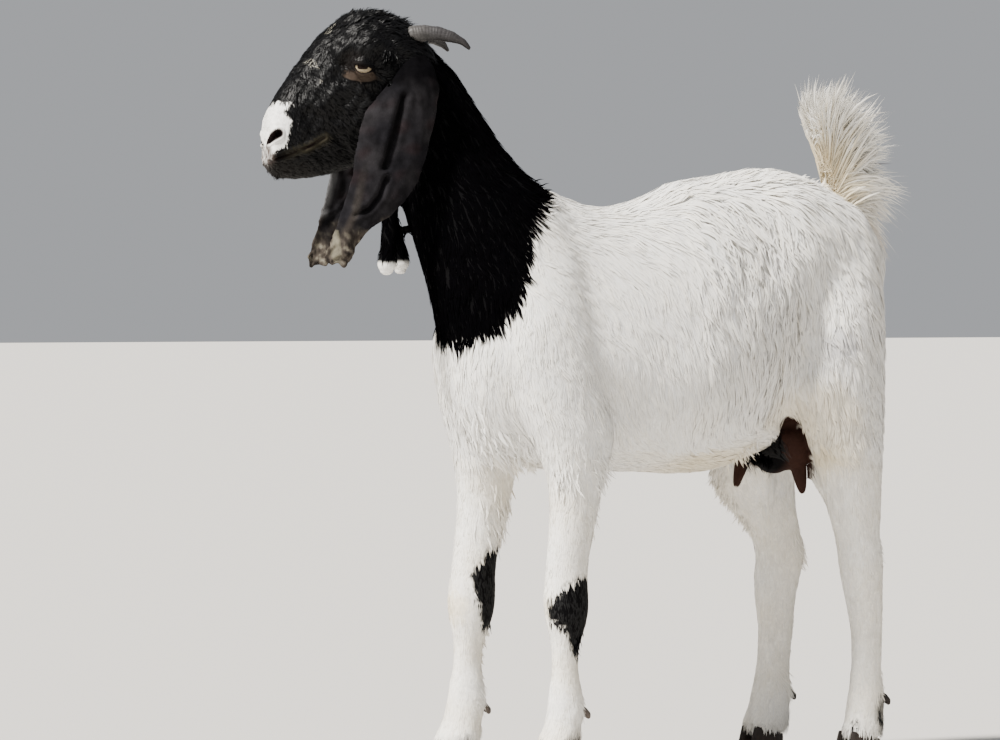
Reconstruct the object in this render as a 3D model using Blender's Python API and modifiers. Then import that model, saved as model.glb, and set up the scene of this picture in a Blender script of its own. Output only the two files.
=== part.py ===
"""A standing doe goat, life size: a still museum model in separate solid pieces.

Metres, +Z up.  The goat faces -X, its left side is towards -Y, and its hooves stand on Z = 0.
Everything is first shaped square and straight on the plane Y = 0, with fused flesh made from
lofted sections; then the neck is turned, the flesh is parted, and horn, eye, hoof, ear, wattle,
udder and tail are let into it.
"""
import math
from collections import namedtuple

import bmesh
import bpy
from mathutils import Matrix, Vector

# ---------------------------------------------------------------- driving dimensions (metres)
WITHERS_HEIGHT = 0.728
RUMP_HEIGHT = 0.756
CHEST_HALF_WIDTH = 0.094
BELLY_HALF_WIDTH = 0.118
RUMP_HALF_WIDTH = 0.088
FRONT_FOOT_Y = 0.078
HIND_FOOT_Y = 0.081
HIND_FOOT_X = 0.500
NECK_TURN = math.radians(22)      # the neck carries the head towards the goat's right
NECK_FOOT = Vector((-0.020, 0.640))   # in side view, the line along which the turn builds up
NECK_LINE = Vector((-0.447, 0.894))
TURN_REACH = (-0.010, 0.165)
EYE_RADIUS = 0.0140
EYE_CENTRE = Vector((-0.2215, 0.0460, 0.8750))
CORONET_HEIGHT = 0.029            # at the middle of the foot; it climbs towards the toe
CORONET_SLOPE = math.radians(14)
SOLE_LENGTH = 0.060
CLAW_WIDTH = 0.021
CLAW_SPREAD = 0.0122              # from the middle of the foot to the middle of a claw
DEWCLAW_HEIGHT = 0.077
VOXEL = 0.0055
GAP = 0.0004                      # clearance left between neighbouring pieces
HEAD_TRIANGLES = 1050
LEG_TRIANGLES = 1250
BODY_TRIANGLES = 1300

COLOUR = {
    "white coat": (0.80, 0.77, 0.71),
    "black coat": (0.014, 0.013, 0.013),
    "ear skin": (0.045, 0.040, 0.040),
    "wattle": (0.02, 0.018, 0.018),
    "udder skin": (0.13, 0.055, 0.040),
    "horn": (0.20, 0.17, 0.15),
    "hoof": (0.075, 0.055, 0.045),
    "eye": (0.42, 0.30, 0.12),
}
ROUGHNESS = {"horn": 0.45, "hoof": 0.5, "eye": 0.08}

Section = namedtuple("Section", "upper lower half_width widest upper_power lower_power y")


def section(upper, lower, half_width, widest=0.5, upper_power=2.0, lower_power=2.0, y=0.0):
    """One ring of a loft, hung between two points (x, z) of the side view.

    widest is where the ring is widest, from 0 at lower to 1 at upper; a power under 2 makes
    that half of the ring keener, and one over 2 makes it squarer.
    """
    return Section(Vector(upper), Vector(lower), half_width, widest, upper_power, lower_power, y)


def limb_section(x, z, half_depth, half_width, y, tilt=0.0):
    """A ring of a leg: its middle, its half depth fore and aft, and how far its back is raised."""
    return section((x - half_depth, z - tilt), (x + half_depth, z + tilt), half_width, y=y)


# ---------------------------------------------------------------- scene and mesh helpers
def clear_scene():
    for old in list(bpy.data.objects):
        bpy.data.objects.remove(old, do_unlink=True)


def new_collection(name):
    made = bpy.data.collections.new(name)
    bpy.context.scene.collection.children.link(made)
    return made


def material(name):
    found = bpy.data.materials.get(name)
    if found:
        return found
    made = bpy.data.materials.new(name)
    made.use_nodes = True
    shader = made.node_tree.nodes["Principled BSDF"]
    shader.inputs["Base Color"].default_value = (*COLOUR[name], 1.0)
    shader.inputs["Roughness"].default_value = ROUGHNESS.get(name, 0.8)
    shader.inputs["Metallic"].default_value = 0.0
    return made


def object_from(bm, name, collection, finish=None):
    bmesh.ops.recalc_face_normals(bm, faces=bm.faces)
    mesh = bpy.data.meshes.new(name)
    bm.to_mesh(mesh)
    bm.free()
    made = bpy.data.objects.new(name, mesh)
    collection.objects.link(made)
    if finish:
        mesh.materials.append(material(finish))
    return made


def evaluated_copy(source, name, collection):
    """The object's mesh with its modifiers applied, as a new object."""
    graph = bpy.context.evaluated_depsgraph_get()
    graph.update()
    mesh = bpy.data.meshes.new_from_object(source.evaluated_get(graph))
    mesh.transform(source.matrix_world)
    made = bpy.data.objects.new(name, mesh)
    collection.objects.link(made)
    return made


def replace_mesh(target, source):
    target.data = source.data
    bpy.data.objects.remove(source)


def apply_modifiers(target):
    """Bakes the modifiers of an object into its mesh, which then holds its place as well."""
    finishes = [slot.material for slot in target.material_slots]
    baked = evaluated_copy(target, target.name + ".baked", target.users_collection[0])
    target.modifiers.clear()
    target.matrix_world = Matrix.Identity(4)
    replace_mesh(target, baked)
    target.data.materials.clear()
    for finish in finishes:
        target.data.materials.append(finish)


def boolean(target, operation, cutter):
    change = target.modifiers.new(operation.lower(), "BOOLEAN")
    change.operation = operation
    change.solver = "EXACT"
    change.object = cutter
    apply_modifiers(target)


# ---------------------------------------------------------------- lofts
def curved(before, start, end, after, t):
    """A Catmull-Rom value between start and end."""
    return 0.5 * (2 * start + (end - before) * t + (2 * before - 5 * start + 4 * end - after) * t * t
                  + (3 * start - before - 3 * end + after) * t ** 3)


def smooth_sections(sections, steps):
    """The sections with steps - 1 smooth ones laid between each two."""
    padded = [sections[0], *sections, sections[-1]]
    laid = []
    for before, start, end, after in zip(padded, padded[1:], padded[2:], padded[3:]):
        for step in range(steps):
            t = step / steps
            laid.append(Section(*(curved(*values, t) for values in zip(before, start, end, after))))
    return [*laid, sections[-1]]


def ring_points(ring, around):
    middle = ring.lower.lerp(ring.upper, ring.widest)
    points = []
    for i in range(around):
        angle = 2 * math.pi * i / around
        side, rise = math.cos(angle), math.sin(angle)
        edge, power = (ring.upper, ring.upper_power) if rise >= 0 else (ring.lower, ring.lower_power)
        out = math.copysign(abs(side) ** (2 / power), side) * max(ring.half_width, 0.0005)
        along = middle.lerp(edge, abs(rise) ** (2 / power))
        points.append(Vector((along.x, ring.y + out, along.y)))
    return points


def skinned_rings(name, rings, collection, finish=None):
    """A closed body over rings that all have the same number of points."""
    bm = bmesh.new()
    rows = [[bm.verts.new(p) for p in ring] for ring in rings]
    for row, following in zip(rows, rows[1:]):
        for i in range(len(row)):
            j = (i + 1) % len(row)
            bm.faces.new((row[i], row[j], following[j], following[i]))
    bm.faces.new(rows[0])
    bm.faces.new(rows[-1])
    return object_from(bm, name, collection, finish)


def loft(name, sections, collection, around=32, steps=4, finish=None):
    """A closed body through the sections, its two ends capped."""
    rings = [ring_points(ring, around) for ring in smooth_sections(sections, steps)]
    return skinned_rings(name, rings, collection, finish)


# ---------------------------------------------------------------- the forms that are fused
def trunk_sections():
    """Chest, barrel and rump, each ring upright."""
    top, rump = WITHERS_HEIGHT, RUMP_HEIGHT
    chest, belly, hips = CHEST_HALF_WIDTH, BELLY_HALF_WIDTH, RUMP_HALF_WIDTH
    return [
        section((-0.114, 0.560), (-0.112, 0.500), 0.020),
        section((-0.104, 0.605), (-0.100, 0.450), 0.046, 0.5),
        section((-0.078, 0.648), (-0.074, 0.408), 0.066, 0.5, 1.8),
        section((-0.038, 0.690), (-0.040, 0.386), chest * 0.86, 0.46, 1.7),
        section((0.000, 0.716), (0.000, 0.377), chest * 0.97, 0.42, 1.55, 2.1),
        section((0.045, top - 0.002), (0.050, 0.373), chest * 1.02, 0.40, 1.55, 2.1),
        section((0.100, 0.709), (0.110, 0.371), chest * 1.13, 0.40, 1.75, 2.2),
        section((0.150, 0.708), (0.165, 0.369), belly * 0.95, 0.41, 1.9, 2.2),
        section((0.210, 0.724), (0.220, 0.367), belly, 0.42, 1.95, 2.2),
        section((0.250, 0.739), (0.252, 0.367), belly, 0.435, 1.92, 2.15),
        section((0.295, 0.744), (0.290, 0.368), belly * 0.99, 0.45, 1.9, 2.1),
        section((0.350, rump - 0.004), (0.340, 0.379), belly * 0.93, 0.52, 1.9, 2.0),
        section((0.400, rump), (0.395, 0.405), hips * 1.10, 0.60, 2.1, 2.0),
        section((0.450, 0.747), (0.445, 0.440), hips * 1.03, 0.64, 2.1),
        section((0.500, 0.727), (0.490, 0.470), hips * 0.94, 0.66, 2.1),
        section((0.540, 0.700), (0.525, 0.505), hips * 0.80, 0.66),
        section((0.566, 0.664), (0.553, 0.545), hips * 0.60, 0.64),
        section((0.578, 0.632), (0.570, 0.590), hips * 0.26, 0.60),
    ]


def neck_sections():
    return [
        section((0.082, 0.690), (-0.085, 0.470), 0.070, 0.45),
        section((0.040, 0.724), (-0.114, 0.520), 0.072, 0.45),
        section((0.000, 0.750), (-0.130, 0.583), 0.064, 0.47, 1.8),
        section((-0.032, 0.787), (-0.144, 0.645), 0.055, 0.48, 1.8),
        section((-0.066, 0.840), (-0.156, 0.700), 0.048, 0.50, 1.8),
        section((-0.099, 0.886), (-0.168, 0.748), 0.044, 0.52, 1.9),
        section((-0.140, 0.908), (-0.184, 0.778), 0.042, 0.55),
    ]


def head_sections():
    """Skull, jaws and muzzle; the crown's hair is part of the upper line."""
    return [
        section((-0.108, 0.885), (-0.150, 0.788), 0.036, 0.5),
        section((-0.122, 0.908), (-0.162, 0.772), 0.044, 0.58),
        section((-0.150, 0.933), (-0.180, 0.762), 0.049, 0.60),
        section((-0.190, 0.949), (-0.203, 0.754), 0.0535, 0.62, 2.1, 1.8),
        section((-0.2285, 0.9440), (-0.223, 0.749), 0.0535, 0.67, 2.2, 1.7),
        section((-0.2550, 0.9240), (-0.242, 0.745), 0.0455, 0.66, 2.2, 1.7),
        section((-0.2760, 0.9015), (-0.258, 0.741), 0.0385, 0.62, 2.2, 1.8),
        section((-0.2950, 0.8765), (-0.275, 0.738), 0.0345, 0.58, 2.3, 1.9),
        section((-0.3105, 0.8545), (-0.292, 0.737), 0.0315, 0.54, 2.4, 2.0),
        section((-0.3230, 0.8345), (-0.308, 0.738), 0.0300, 0.52, 2.4, 2.0),
        section((-0.333, 0.814), (-0.321, 0.741), 0.0290, 0.52, 2.4, 2.1),
        section((-0.3375, 0.800), (-0.3300, 0.747), 0.0255, 0.52, 2.3, 2.1),
        section((-0.3385, 0.787), (-0.3345, 0.757), 0.0180, 0.52),
    ]


# place on the leg: x from the foot's own, height, half depth, half width, share of the foot's y
FRONT_LEG = [
    (0.002, 0.672, 0.028, 0.010, 0.58),
    (-0.006, 0.630, 0.052, 0.028, 0.66),      # shoulder blade
    (-0.012, 0.565, 0.066, 0.038, 0.78),
    (-0.008, 0.505, 0.070, 0.041, 0.86),      # point of the shoulder
    (0.004, 0.450, 0.068, 0.040, 0.94),
    (0.014, 0.405, 0.056, 0.037, 1.00),       # elbow
    (0.014, 0.362, 0.0405, 0.031, 1.02),
    (0.012, 0.325, 0.0345, 0.0270, 1.02),     # forearm
    (0.006, 0.288, 0.0305, 0.0250, 1.01),
    (0.001, 0.250, 0.0290, 0.0240, 1.00),
    (0.000, 0.214, 0.0315, 0.0262, 1.00),     # knee
    (0.001, 0.188, 0.0285, 0.0240, 1.00),
    (-0.001, 0.160, 0.0205, 0.0170, 1.00),
    (-0.001, 0.130, 0.0192, 0.0150, 1.00),    # cannon
    (-0.001, 0.104, 0.0225, 0.0180, 1.00),
    (0.000, 0.080, 0.0250, 0.0215, 1.00),     # fetlock
    (-0.006, 0.056, 0.0235, 0.0215, 1.00),    # pastern
    (-0.013, 0.036, 0.0265, 0.0240, 1.00),    # coronet
    (-0.015, 0.024, 0.0230, 0.0215, 1.00),
]
HIND_LEG = [
    (-0.012, 0.712, 0.036, 0.012, 0.54),
    (-0.020, 0.665, 0.062, 0.030, 0.62),      # hip
    (-0.032, 0.600, 0.074, 0.040, 0.74),
    (-0.041, 0.530, 0.079, 0.046, 0.84),      # thigh
    (-0.046, 0.475, 0.076, 0.045, 0.92),
    (-0.041, 0.435, 0.068, 0.041, 0.97),      # stifle
    (-0.034, 0.396, 0.056, 0.037, 1.00),
    (-0.026, 0.358, 0.0470, 0.033, 1.00),
    (-0.020, 0.320, 0.0405, 0.029, 1.00),     # gaskin
    (-0.015, 0.285, 0.0335, 0.0260, 1.00),
    (-0.009, 0.255, 0.0330, 0.0255, 1.00),    # hock
    (-0.007, 0.230, 0.0315, 0.0240, 1.00),
    (-0.003, 0.200, 0.0280, 0.0210, 1.00),
    (0.001, 0.165, 0.0245, 0.0180, 1.00),     # cannon
    (0.001, 0.125, 0.0230, 0.0167, 1.00),
    (0.000, 0.098, 0.0235, 0.0178, 1.00),
    (0.000, 0.074, 0.0262, 0.0215, 1.00),     # fetlock
    (-0.004, 0.052, 0.0255, 0.0215, 1.00),    # pastern
    (-0.008, 0.036, 0.0272, 0.0240, 1.00),    # coronet
    (-0.010, 0.024, 0.0235, 0.0215, 1.00),
]

# How each leg stands: foot x, foot y, sideways sign, forward lean of the foot, extra girth of hair
Stance = namedtuple("Stance", "table foot_x foot_y side lean lean_from girth hock_back fringe")
LEGS = {
    "front_left": Stance(FRONT_LEG, 0.0055, FRONT_FOOT_Y, -1, 0.000, 0.42, 1.00, 0.0, 0.0),
    "front_right": Stance(FRONT_LEG, -0.0065, FRONT_FOOT_Y, 1, 0.027, 0.42, 1.06, 0.0, 0.0),
    "hind_left": Stance(HIND_LEG, HIND_FOOT_X + 0.003, HIND_FOOT_Y, -1, 0.000, 0.23, 1.00, 0.0, 0.0),
    "hind_right": Stance(HIND_LEG, HIND_FOOT_X - 0.005, HIND_FOOT_Y, 1, 0.018, 0.23, 1.10, 0.014, 0.034),
}
FRINGE_HEIGHT = 0.355


def lean_at(stance, height):
    """How far forward of its square place the leg is at this height."""
    share = max(0.0, 1 - height / stance.lean_from)
    hock_bulge = math.exp(-((height - 0.265) / 0.035) ** 2) * stance.hock_back
    return stance.lean * share - hock_bulge


def girth_at(stance, height):
    """Hair thickens only the free part of the leg."""
    share = min(1.0, max(0.0, (0.42 - height) / 0.10))
    return 1 + (stance.girth - 1) * share


def leg_sections(stance):
    rings = []
    for x, z, half_depth, half_width, y_share in stance.table:
        grow = girth_at(stance, z)
        fringe = math.exp(-((z - FRINGE_HEIGHT) / 0.045) ** 2) * stance.fringe / 2
        rings.append(limb_section(stance.foot_x + x - lean_at(stance, z) - fringe, z,
                                  half_depth * grow + fringe, half_width * grow,
                                  stance.side * stance.foot_y * y_share))
    return rings


# ---------------------------------------------------------------- fusing and modelling the flesh
# place on the left side, reach, and push; each is repeated on the right where y is not 0
SWELLS = [
    ((-0.212, 0.056, 0.900), 0.026, (0.000, 0.006, 0.002)),     # brow over the eye
    ((-0.222, 0.060, 0.873), 0.019, (0.000, -0.006, 0.000)),    # eye socket
    ((-0.246, 0.050, 0.862), 0.020, (0.000, -0.004, 0.000)),    # hollow before the eye
    ((-0.172, 0.056, 0.876), 0.024, (0.000, -0.003, 0.000)),    # temple
    ((-0.204, 0.050, 0.806), 0.036, (0.000, 0.005, 0.000)),     # cheek
    ((-0.262, 0.040, 0.832), 0.024, (0.000, 0.003, 0.000)),     # cheek bone's front
    ((-0.286, 0.036, 0.812), 0.020, (0.000, -0.003, 0.000)),    # hollow behind the nostril
    ((-0.331, 0.026, 0.796), 0.014, (0.000, 0.003, 0.000)),     # nostril wing
    ((-0.337, 0.000, 0.768), 0.014, (-0.002, 0.000, 0.000)),    # upper lip
    ((-0.318, 0.000, 0.742), 0.016, (-0.001, 0.000, -0.002)),   # chin
    ((-0.074, 0.066, 0.520), 0.045, (-0.004, 0.003, 0.000)),    # point of the shoulder
    ((0.020, 0.060, 0.660), 0.060, (0.000, 0.004, 0.000)),      # shoulder blade's top
    ((0.098, 0.100, 0.455), 0.050, (0.000, -0.006, 0.000)),     # hollow behind the elbow
    ((0.052, 0.100, 0.425), 0.032, (0.004, 0.005, 0.000)),      # elbow
    ((-0.060, 0.000, 0.398), 0.055, (-0.003, 0.000, -0.006)),   # brisket
    ((0.200, 0.115, 0.470), 0.090, (0.000, 0.007, 0.000)),      # barrel
    ((0.345, 0.108, 0.665), 0.070, (0.000, -0.008, -0.001)),    # hollow of the flank
    ((0.392, 0.085, 0.712), 0.045, (-0.001, 0.005, 0.003)),     # hip bone
    ((0.546, 0.052, 0.645), 0.036, (0.003, 0.003, 0.000)),      # pin bone
    ((0.395, 0.112, 0.470), 0.045, (-0.010, 0.004, 0.000)),     # stifle and its fold
    ((0.460, 0.112, 0.560), 0.070, (0.000, 0.006, 0.000)),      # thigh
]


def falloff(distance, reach):
    """1 at the middle of a swell and 0 at its edge, smooth at both."""
    share = min(1.0, distance / reach)
    return (1 - share * share) ** 2


def swell(mesh):
    for place, reach, push in SWELLS:
        for side in (-1, 1) if place[1] else (1,):
            centre = Vector((place[0], place[1] * side, place[2]))
            shift = Vector((push[0], push[1] * side, push[2]))
            for vertex in mesh.vertices:
                distance = (vertex.co - centre).length
                if distance < reach:
                    vertex.co += shift * falloff(distance, reach)


def crotch_weight(point):
    """How strongly a point is smoothed: most where limbs and neck leave the body."""
    joints = [
        (Vector((0.01, 0.0, 0.41)), 0.13),
        (Vector((0.01, 0.0, 0.52)), 0.16),
        (Vector((-0.07, 0.0, 0.62)), 0.16),
        (Vector((0.04, 0.0, 0.70)), 0.09),
        (Vector((0.43, 0.0, 0.48)), 0.17),
        (Vector((0.46, 0.0, 0.62)), 0.16),
        (Vector((-0.155, 0.0, 0.765)), 0.055),
        (Vector((-0.115, 0.0, 0.890)), 0.050),
    ]
    strongest = max(falloff((point - centre).length, reach) for centre, reach in joints)
    return 0.08 + 0.92 * min(1.0, 1.6 * strongest)


def fused_flesh(parts, collection):
    """One skin over all the lofts, softened where they meet."""
    joined = bmesh.new()
    for part in parts:
        joined.from_mesh(part.data)
    flesh = object_from(joined, "flesh", collection)
    fuse = flesh.modifiers.new("fuse", "REMESH")
    fuse.mode = "VOXEL"
    fuse.voxel_size = VOXEL
    apply_modifiers(flesh)
    swell(flesh.data)
    group = flesh.vertex_groups.new(name="soften")
    for vertex in flesh.data.vertices:
        group.add([vertex.index], crotch_weight(vertex.co), "REPLACE")
    soften = flesh.modifiers.new("soften", "SMOOTH")
    soften.iterations = 26
    soften.factor = 0.5
    soften.vertex_group = group.name
    apply_modifiers(flesh)
    flesh.vertex_groups.clear()
    return flesh


def thinned(flesh):
    """Fewer, larger facets: each region is brought down to its own number in turn."""
    regions = [
        (HEAD_TRIANGLES, lambda c: c.x < -0.12 and c.z > 0.73),
        (LEG_TRIANGLES, lambda c: c.z < 0.37),
        (BODY_TRIANGLES, lambda c: c.z >= 0.37 and not (c.x < -0.12 and c.z > 0.73)),
    ]
    for wanted, inside in regions:
        group = flesh.vertex_groups.new(name="region")
        group.add([v.index for v in flesh.data.vertices if inside(v.co)], 1.0, "REPLACE")
        flesh.data.calc_loop_triangles()
        triangles = len(flesh.data.loop_triangles)
        members = sum(all(inside(flesh.data.vertices[i].co) for i in t.vertices)
                      for t in flesh.data.loop_triangles)
        thin = flesh.modifiers.new("thin", "DECIMATE")
        thin.ratio = (triangles - members + wanted) / triangles
        thin.vertex_group = group.name
        apply_modifiers(flesh)
        flesh.vertex_groups.clear()


# ---------------------------------------------------------------- turning the neck
HEAD_PLACE = Matrix.Rotation(-NECK_TURN, 4, "Z")


def turned(point):
    """A point of the straight neck or head carried round by the neck's turn."""
    along = (Vector((point.x, point.z)) - NECK_FOOT).dot(NECK_LINE)
    share = min(1.0, max(0.0, (along - TURN_REACH[0]) / (TURN_REACH[1] - TURN_REACH[0])))
    front = min(1.0, max(0.0, (0.05 - point.x) / 0.10))
    angle = -NECK_TURN * (3 * share ** 2 - 2 * share ** 3) * front
    return Matrix.Rotation(angle, 4, "Z") @ point


# ---------------------------------------------------------------- horn, eye, ear and wattle
def ball(name, centre, radii, collection, finish, rows=8):
    bm = bmesh.new()
    place = Matrix.Translation(centre) @ Matrix.Diagonal((*radii, 1.0))
    bmesh.ops.create_uvsphere(bm, u_segments=rows + 4, v_segments=rows, radius=1.0, matrix=place)
    return object_from(bm, name, collection, finish)


def tube(name, stations, collection, finish, around=12, steps=3):
    """A round body through stations of (centre, radius), its rings square to the path."""
    padded = [stations[0], *stations, stations[-1]]
    path = []
    for before, start, end, after in zip(padded, padded[1:], padded[2:], padded[3:]):
        for step in range(steps):
            t = step / steps
            centre = curved(*(Vector(s[0]) for s in (before, start, end, after)), t)
            path.append((centre, curved(before[1], start[1], end[1], after[1], t)))
    path.append((Vector(stations[-1][0]), stations[-1][1]))
    rings = []
    for i, (centre, radius) in enumerate(path):
        ahead = path[min(i + 1, len(path) - 1)][0] - path[max(i - 1, 0)][0]
        turn_to = ahead.to_track_quat("Z", "Y").to_matrix()
        angles = [2 * math.pi * k / around for k in range(around)]
        rings.append([centre + turn_to @ Vector((math.cos(a), math.sin(a), 0)) * radius for a in angles])
    return skinned_rings(name, rings, collection, finish)


HORN = [
    ((-0.162, 0.022, 0.908), 0.0105),
    ((-0.150, 0.025, 0.917), 0.0104),
    ((-0.135, 0.029, 0.922), 0.0098),
    ((-0.119, 0.034, 0.922), 0.0086),
    ((-0.103, 0.040, 0.916), 0.0066),
    ((-0.091, 0.045, 0.908), 0.0042),
    ((-0.083, 0.049, 0.899), 0.0016),
]
WATTLES = {
    "wattle_left": [
        ((-0.172, -0.022, 0.748), 0.0085), ((-0.176, -0.023, 0.725), 0.0080),
        ((-0.180, -0.024, 0.690), 0.0076), ((-0.182, -0.024, 0.655), 0.0078),
        ((-0.183, -0.024, 0.642), 0.0094), ((-0.184, -0.024, 0.630), 0.0098),
        ((-0.184, -0.024, 0.622), 0.0068),
    ],
    "wattle_right": [
        ((-0.180, 0.021, 0.752), 0.0085), ((-0.176, 0.022, 0.728), 0.0080),
        ((-0.165, 0.023, 0.692), 0.0076), ((-0.156, 0.023, 0.656), 0.0078),
        ((-0.153, 0.024, 0.643), 0.0094), ((-0.152, 0.024, 0.631), 0.0098),
        ((-0.152, 0.024, 0.623), 0.0068),
    ],
}

# front edge (x, z), back edge (x, z), distance from the head's middle, outward bulge, groove
EAR = [
    ((-0.172, 0.884), (-0.138, 0.892), 0.036, 0.012, 0.000),
    ((-0.185, 0.862), (-0.131, 0.878), 0.053, 0.014, 0.000),
    ((-0.205, 0.841), (-0.127, 0.851), 0.062, 0.013, 0.002),
    ((-0.224, 0.820), (-0.130, 0.822), 0.066, 0.012, 0.006),
    ((-0.233, 0.795), (-0.138, 0.793), 0.069, 0.012, 0.008),
    ((-0.238, 0.769), (-0.146, 0.762), 0.071, 0.012, 0.008),
    ((-0.242, 0.742), (-0.156, 0.734), 0.072, 0.011, 0.005),
    ((-0.249, 0.719), (-0.172, 0.710), 0.073, 0.010, 0.003),
    ((-0.256, 0.700), (-0.196, 0.689), 0.074, 0.009, 0.005),
    ((-0.263, 0.680), (-0.221, 0.672), 0.075, 0.008, 0.002),
    ((-0.272, 0.657), (-0.236, 0.654), 0.075, 0.006, 0.000),
    ((-0.277, 0.640), (-0.241, 0.640), 0.074, 0.004, 0.000),
    ((-0.277, 0.630), (-0.252, 0.632), 0.073, 0.003, 0.000),
]
EAR_THICKNESS = 0.0052
EAR_ACROSS = 8


def ear_ring(front, back, lateral, bulge, groove):
    """The ear's section: its outer face from front edge to back edge, then its inner face."""
    outer, inner = [], []
    for i in range(EAR_ACROSS + 1):
        s = -1 + 2 * i / EAR_ACROSS
        x, z = Vector(front).lerp(Vector(back), (s + 1) / 2)
        out = lateral + bulge * (1 - s * s) - groove * math.exp(-((s - 0.05) / 0.22) ** 2)
        outer.append(Vector((x, out, z)))
        inner.append(Vector((x, out - EAR_THICKNESS * (1 - 0.62 * s * s), z)))
    return outer + inner[::-1]


def ear_body(name, collection):
    return skinned_rings(name, [ear_ring(*row) for row in EAR], collection, "ear skin")


def mirrored(source, name, collection):
    bm = bmesh.new()
    bm.from_mesh(source.data)
    bmesh.ops.scale(bm, vec=(1, -1, 1), verts=bm.verts)
    bmesh.ops.reverse_faces(bm, faces=bm.faces)
    made = object_from(bm, name, collection)
    made.data.materials.append(source.data.materials[0])
    return made


def place(target, matrix):
    target.data.transform(matrix)


def head_pieces(collection):
    """Left and right horns, ears, wattles and eyes, already turned with the head."""
    horn = tube("horn_right", HORN, collection, "horn", around=9, steps=1)
    for vertex in horn.data.vertices:
        vertex.co.y = 0.032 + (vertex.co.y - 0.032) * 0.86
    ear = ear_body("ear_right", collection)
    eye = ball("eye_right", EYE_CENTRE, [EYE_RADIUS] * 3, collection, "eye")
    pieces = [horn, ear, eye]
    pieces += [mirrored(p, p.name.replace("right", "left"), collection) for p in (horn, ear, eye)]
    for vertex in ear.data.vertices:
        hang = min(1.0, max(0.0, (0.86 - vertex.co.z) / 0.20))
        vertex.co.x += 0.018 * hang
        vertex.co.y -= 0.004 * hang
    for name, stations in WATTLES.items():
        pieces.append(tube(name, stations, collection, "wattle", around=8, steps=1))
    for piece in pieces:
        place(piece, HEAD_PLACE)
    return pieces


# ---------------------------------------------------------------- udder and tail
def udder_body(collection):
    """Two halves, the right one a little further forward, each with its teat."""
    lobes = [
        ((0.432, -0.024, 0.402), (0.036, 0.027, 0.048)), ((0.408, 0.024, 0.402), (0.036, 0.027, 0.045)),
        ((0.437, -0.026, 0.370), (0.022, 0.021, 0.024)), ((0.402, 0.028, 0.374), (0.022, 0.021, 0.024)),
    ]
    teats = [
        [((0.438, -0.028, 0.372), 0.0115), ((0.439, -0.029, 0.356), 0.0078),
         ((0.440, -0.030, 0.347), 0.0066), ((0.440, -0.030, 0.341), 0.0035)],
        [((0.400, 0.030, 0.374), 0.0115), ((0.396, 0.033, 0.358), 0.0078),
         ((0.394, 0.035, 0.350), 0.0066), ((0.393, 0.035, 0.344), 0.0035)],
    ]
    forms = [ball("lobe", centre, radii, collection, None) for centre, radii in lobes]
    forms += [tube("teat", stations, collection, None) for stations in teats]
    joined = bmesh.new()
    for form in forms:
        joined.from_mesh(form.data)
        bpy.data.objects.remove(form)
    udder = object_from(joined, "udder", collection, "udder skin")
    fuse = udder.modifiers.new("fuse", "REMESH")
    fuse.mode = "VOXEL"
    fuse.voxel_size = 0.003
    soften = udder.modifiers.new("soften", "SMOOTH")
    soften.iterations = 4
    thin = udder.modifiers.new("thin", "DECIMATE")
    thin.ratio = 0.03
    apply_modifiers(udder)
    return udder


def tail_body(collection):
    """The raised dock's hair, spread like a fan from over the rump round to behind the seat."""
    fan = loft("tail", [
        section((0.466, 0.822), (0.500, 0.716), 0.014, 0.60, 1.7, 1.5),
        section((0.472, 0.860), (0.506, 0.706), 0.032, 0.62, 1.9, 1.5),
        section((0.503, 0.874), (0.514, 0.698), 0.041, 0.62, 1.9, 1.5),
        section((0.545, 0.868), (0.520, 0.692), 0.043, 0.62, 1.9, 1.5),
        section((0.582, 0.834), (0.526, 0.686), 0.040, 0.62, 1.9, 1.5),
        section((0.606, 0.785), (0.530, 0.682), 0.035, 0.60, 1.8, 1.6),
        section((0.618, 0.738), (0.533, 0.678), 0.030, 0.58, 1.8, 1.7),
        section((0.620, 0.696), (0.535, 0.670), 0.025, 0.56, 1.8, 1.8),
        section((0.612, 0.656), (0.538, 0.656), 0.018, 0.56, 1.8),
        section((0.598, 0.634), (0.544, 0.640), 0.008, 0.56, 1.8),
    ], collection, around=14, steps=2, finish="white coat")
    return fan


# ---------------------------------------------------------------- hooves
def foot_forward(stance):
    """x of the middle of the coronet."""
    height = CORONET_HEIGHT
    index = min(range(len(stance.table)), key=lambda i: abs(stance.table[i][1] - height))
    return stance.foot_x + stance.table[index][0] - lean_at(stance, height)


def claw_outline(toe, heel, half_width, height, y, inner_side):
    """A claw's outline at one height: a pointed toe, a round heel and a flat inner face."""
    points = []
    for i in range(10):
        angle = 2 * math.pi * i / 10
        along, across = math.cos(angle), math.sin(angle)
        x = (toe + heel) / 2 - along * (heel - toe) / 2
        narrow = 1 - 0.45 * max(0.0, along) ** 2
        flat = 0.72 if across * inner_side > 0 else 1.0
        points.append(Vector((x, y + across * half_width * narrow * flat, height)))
    return points


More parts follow.
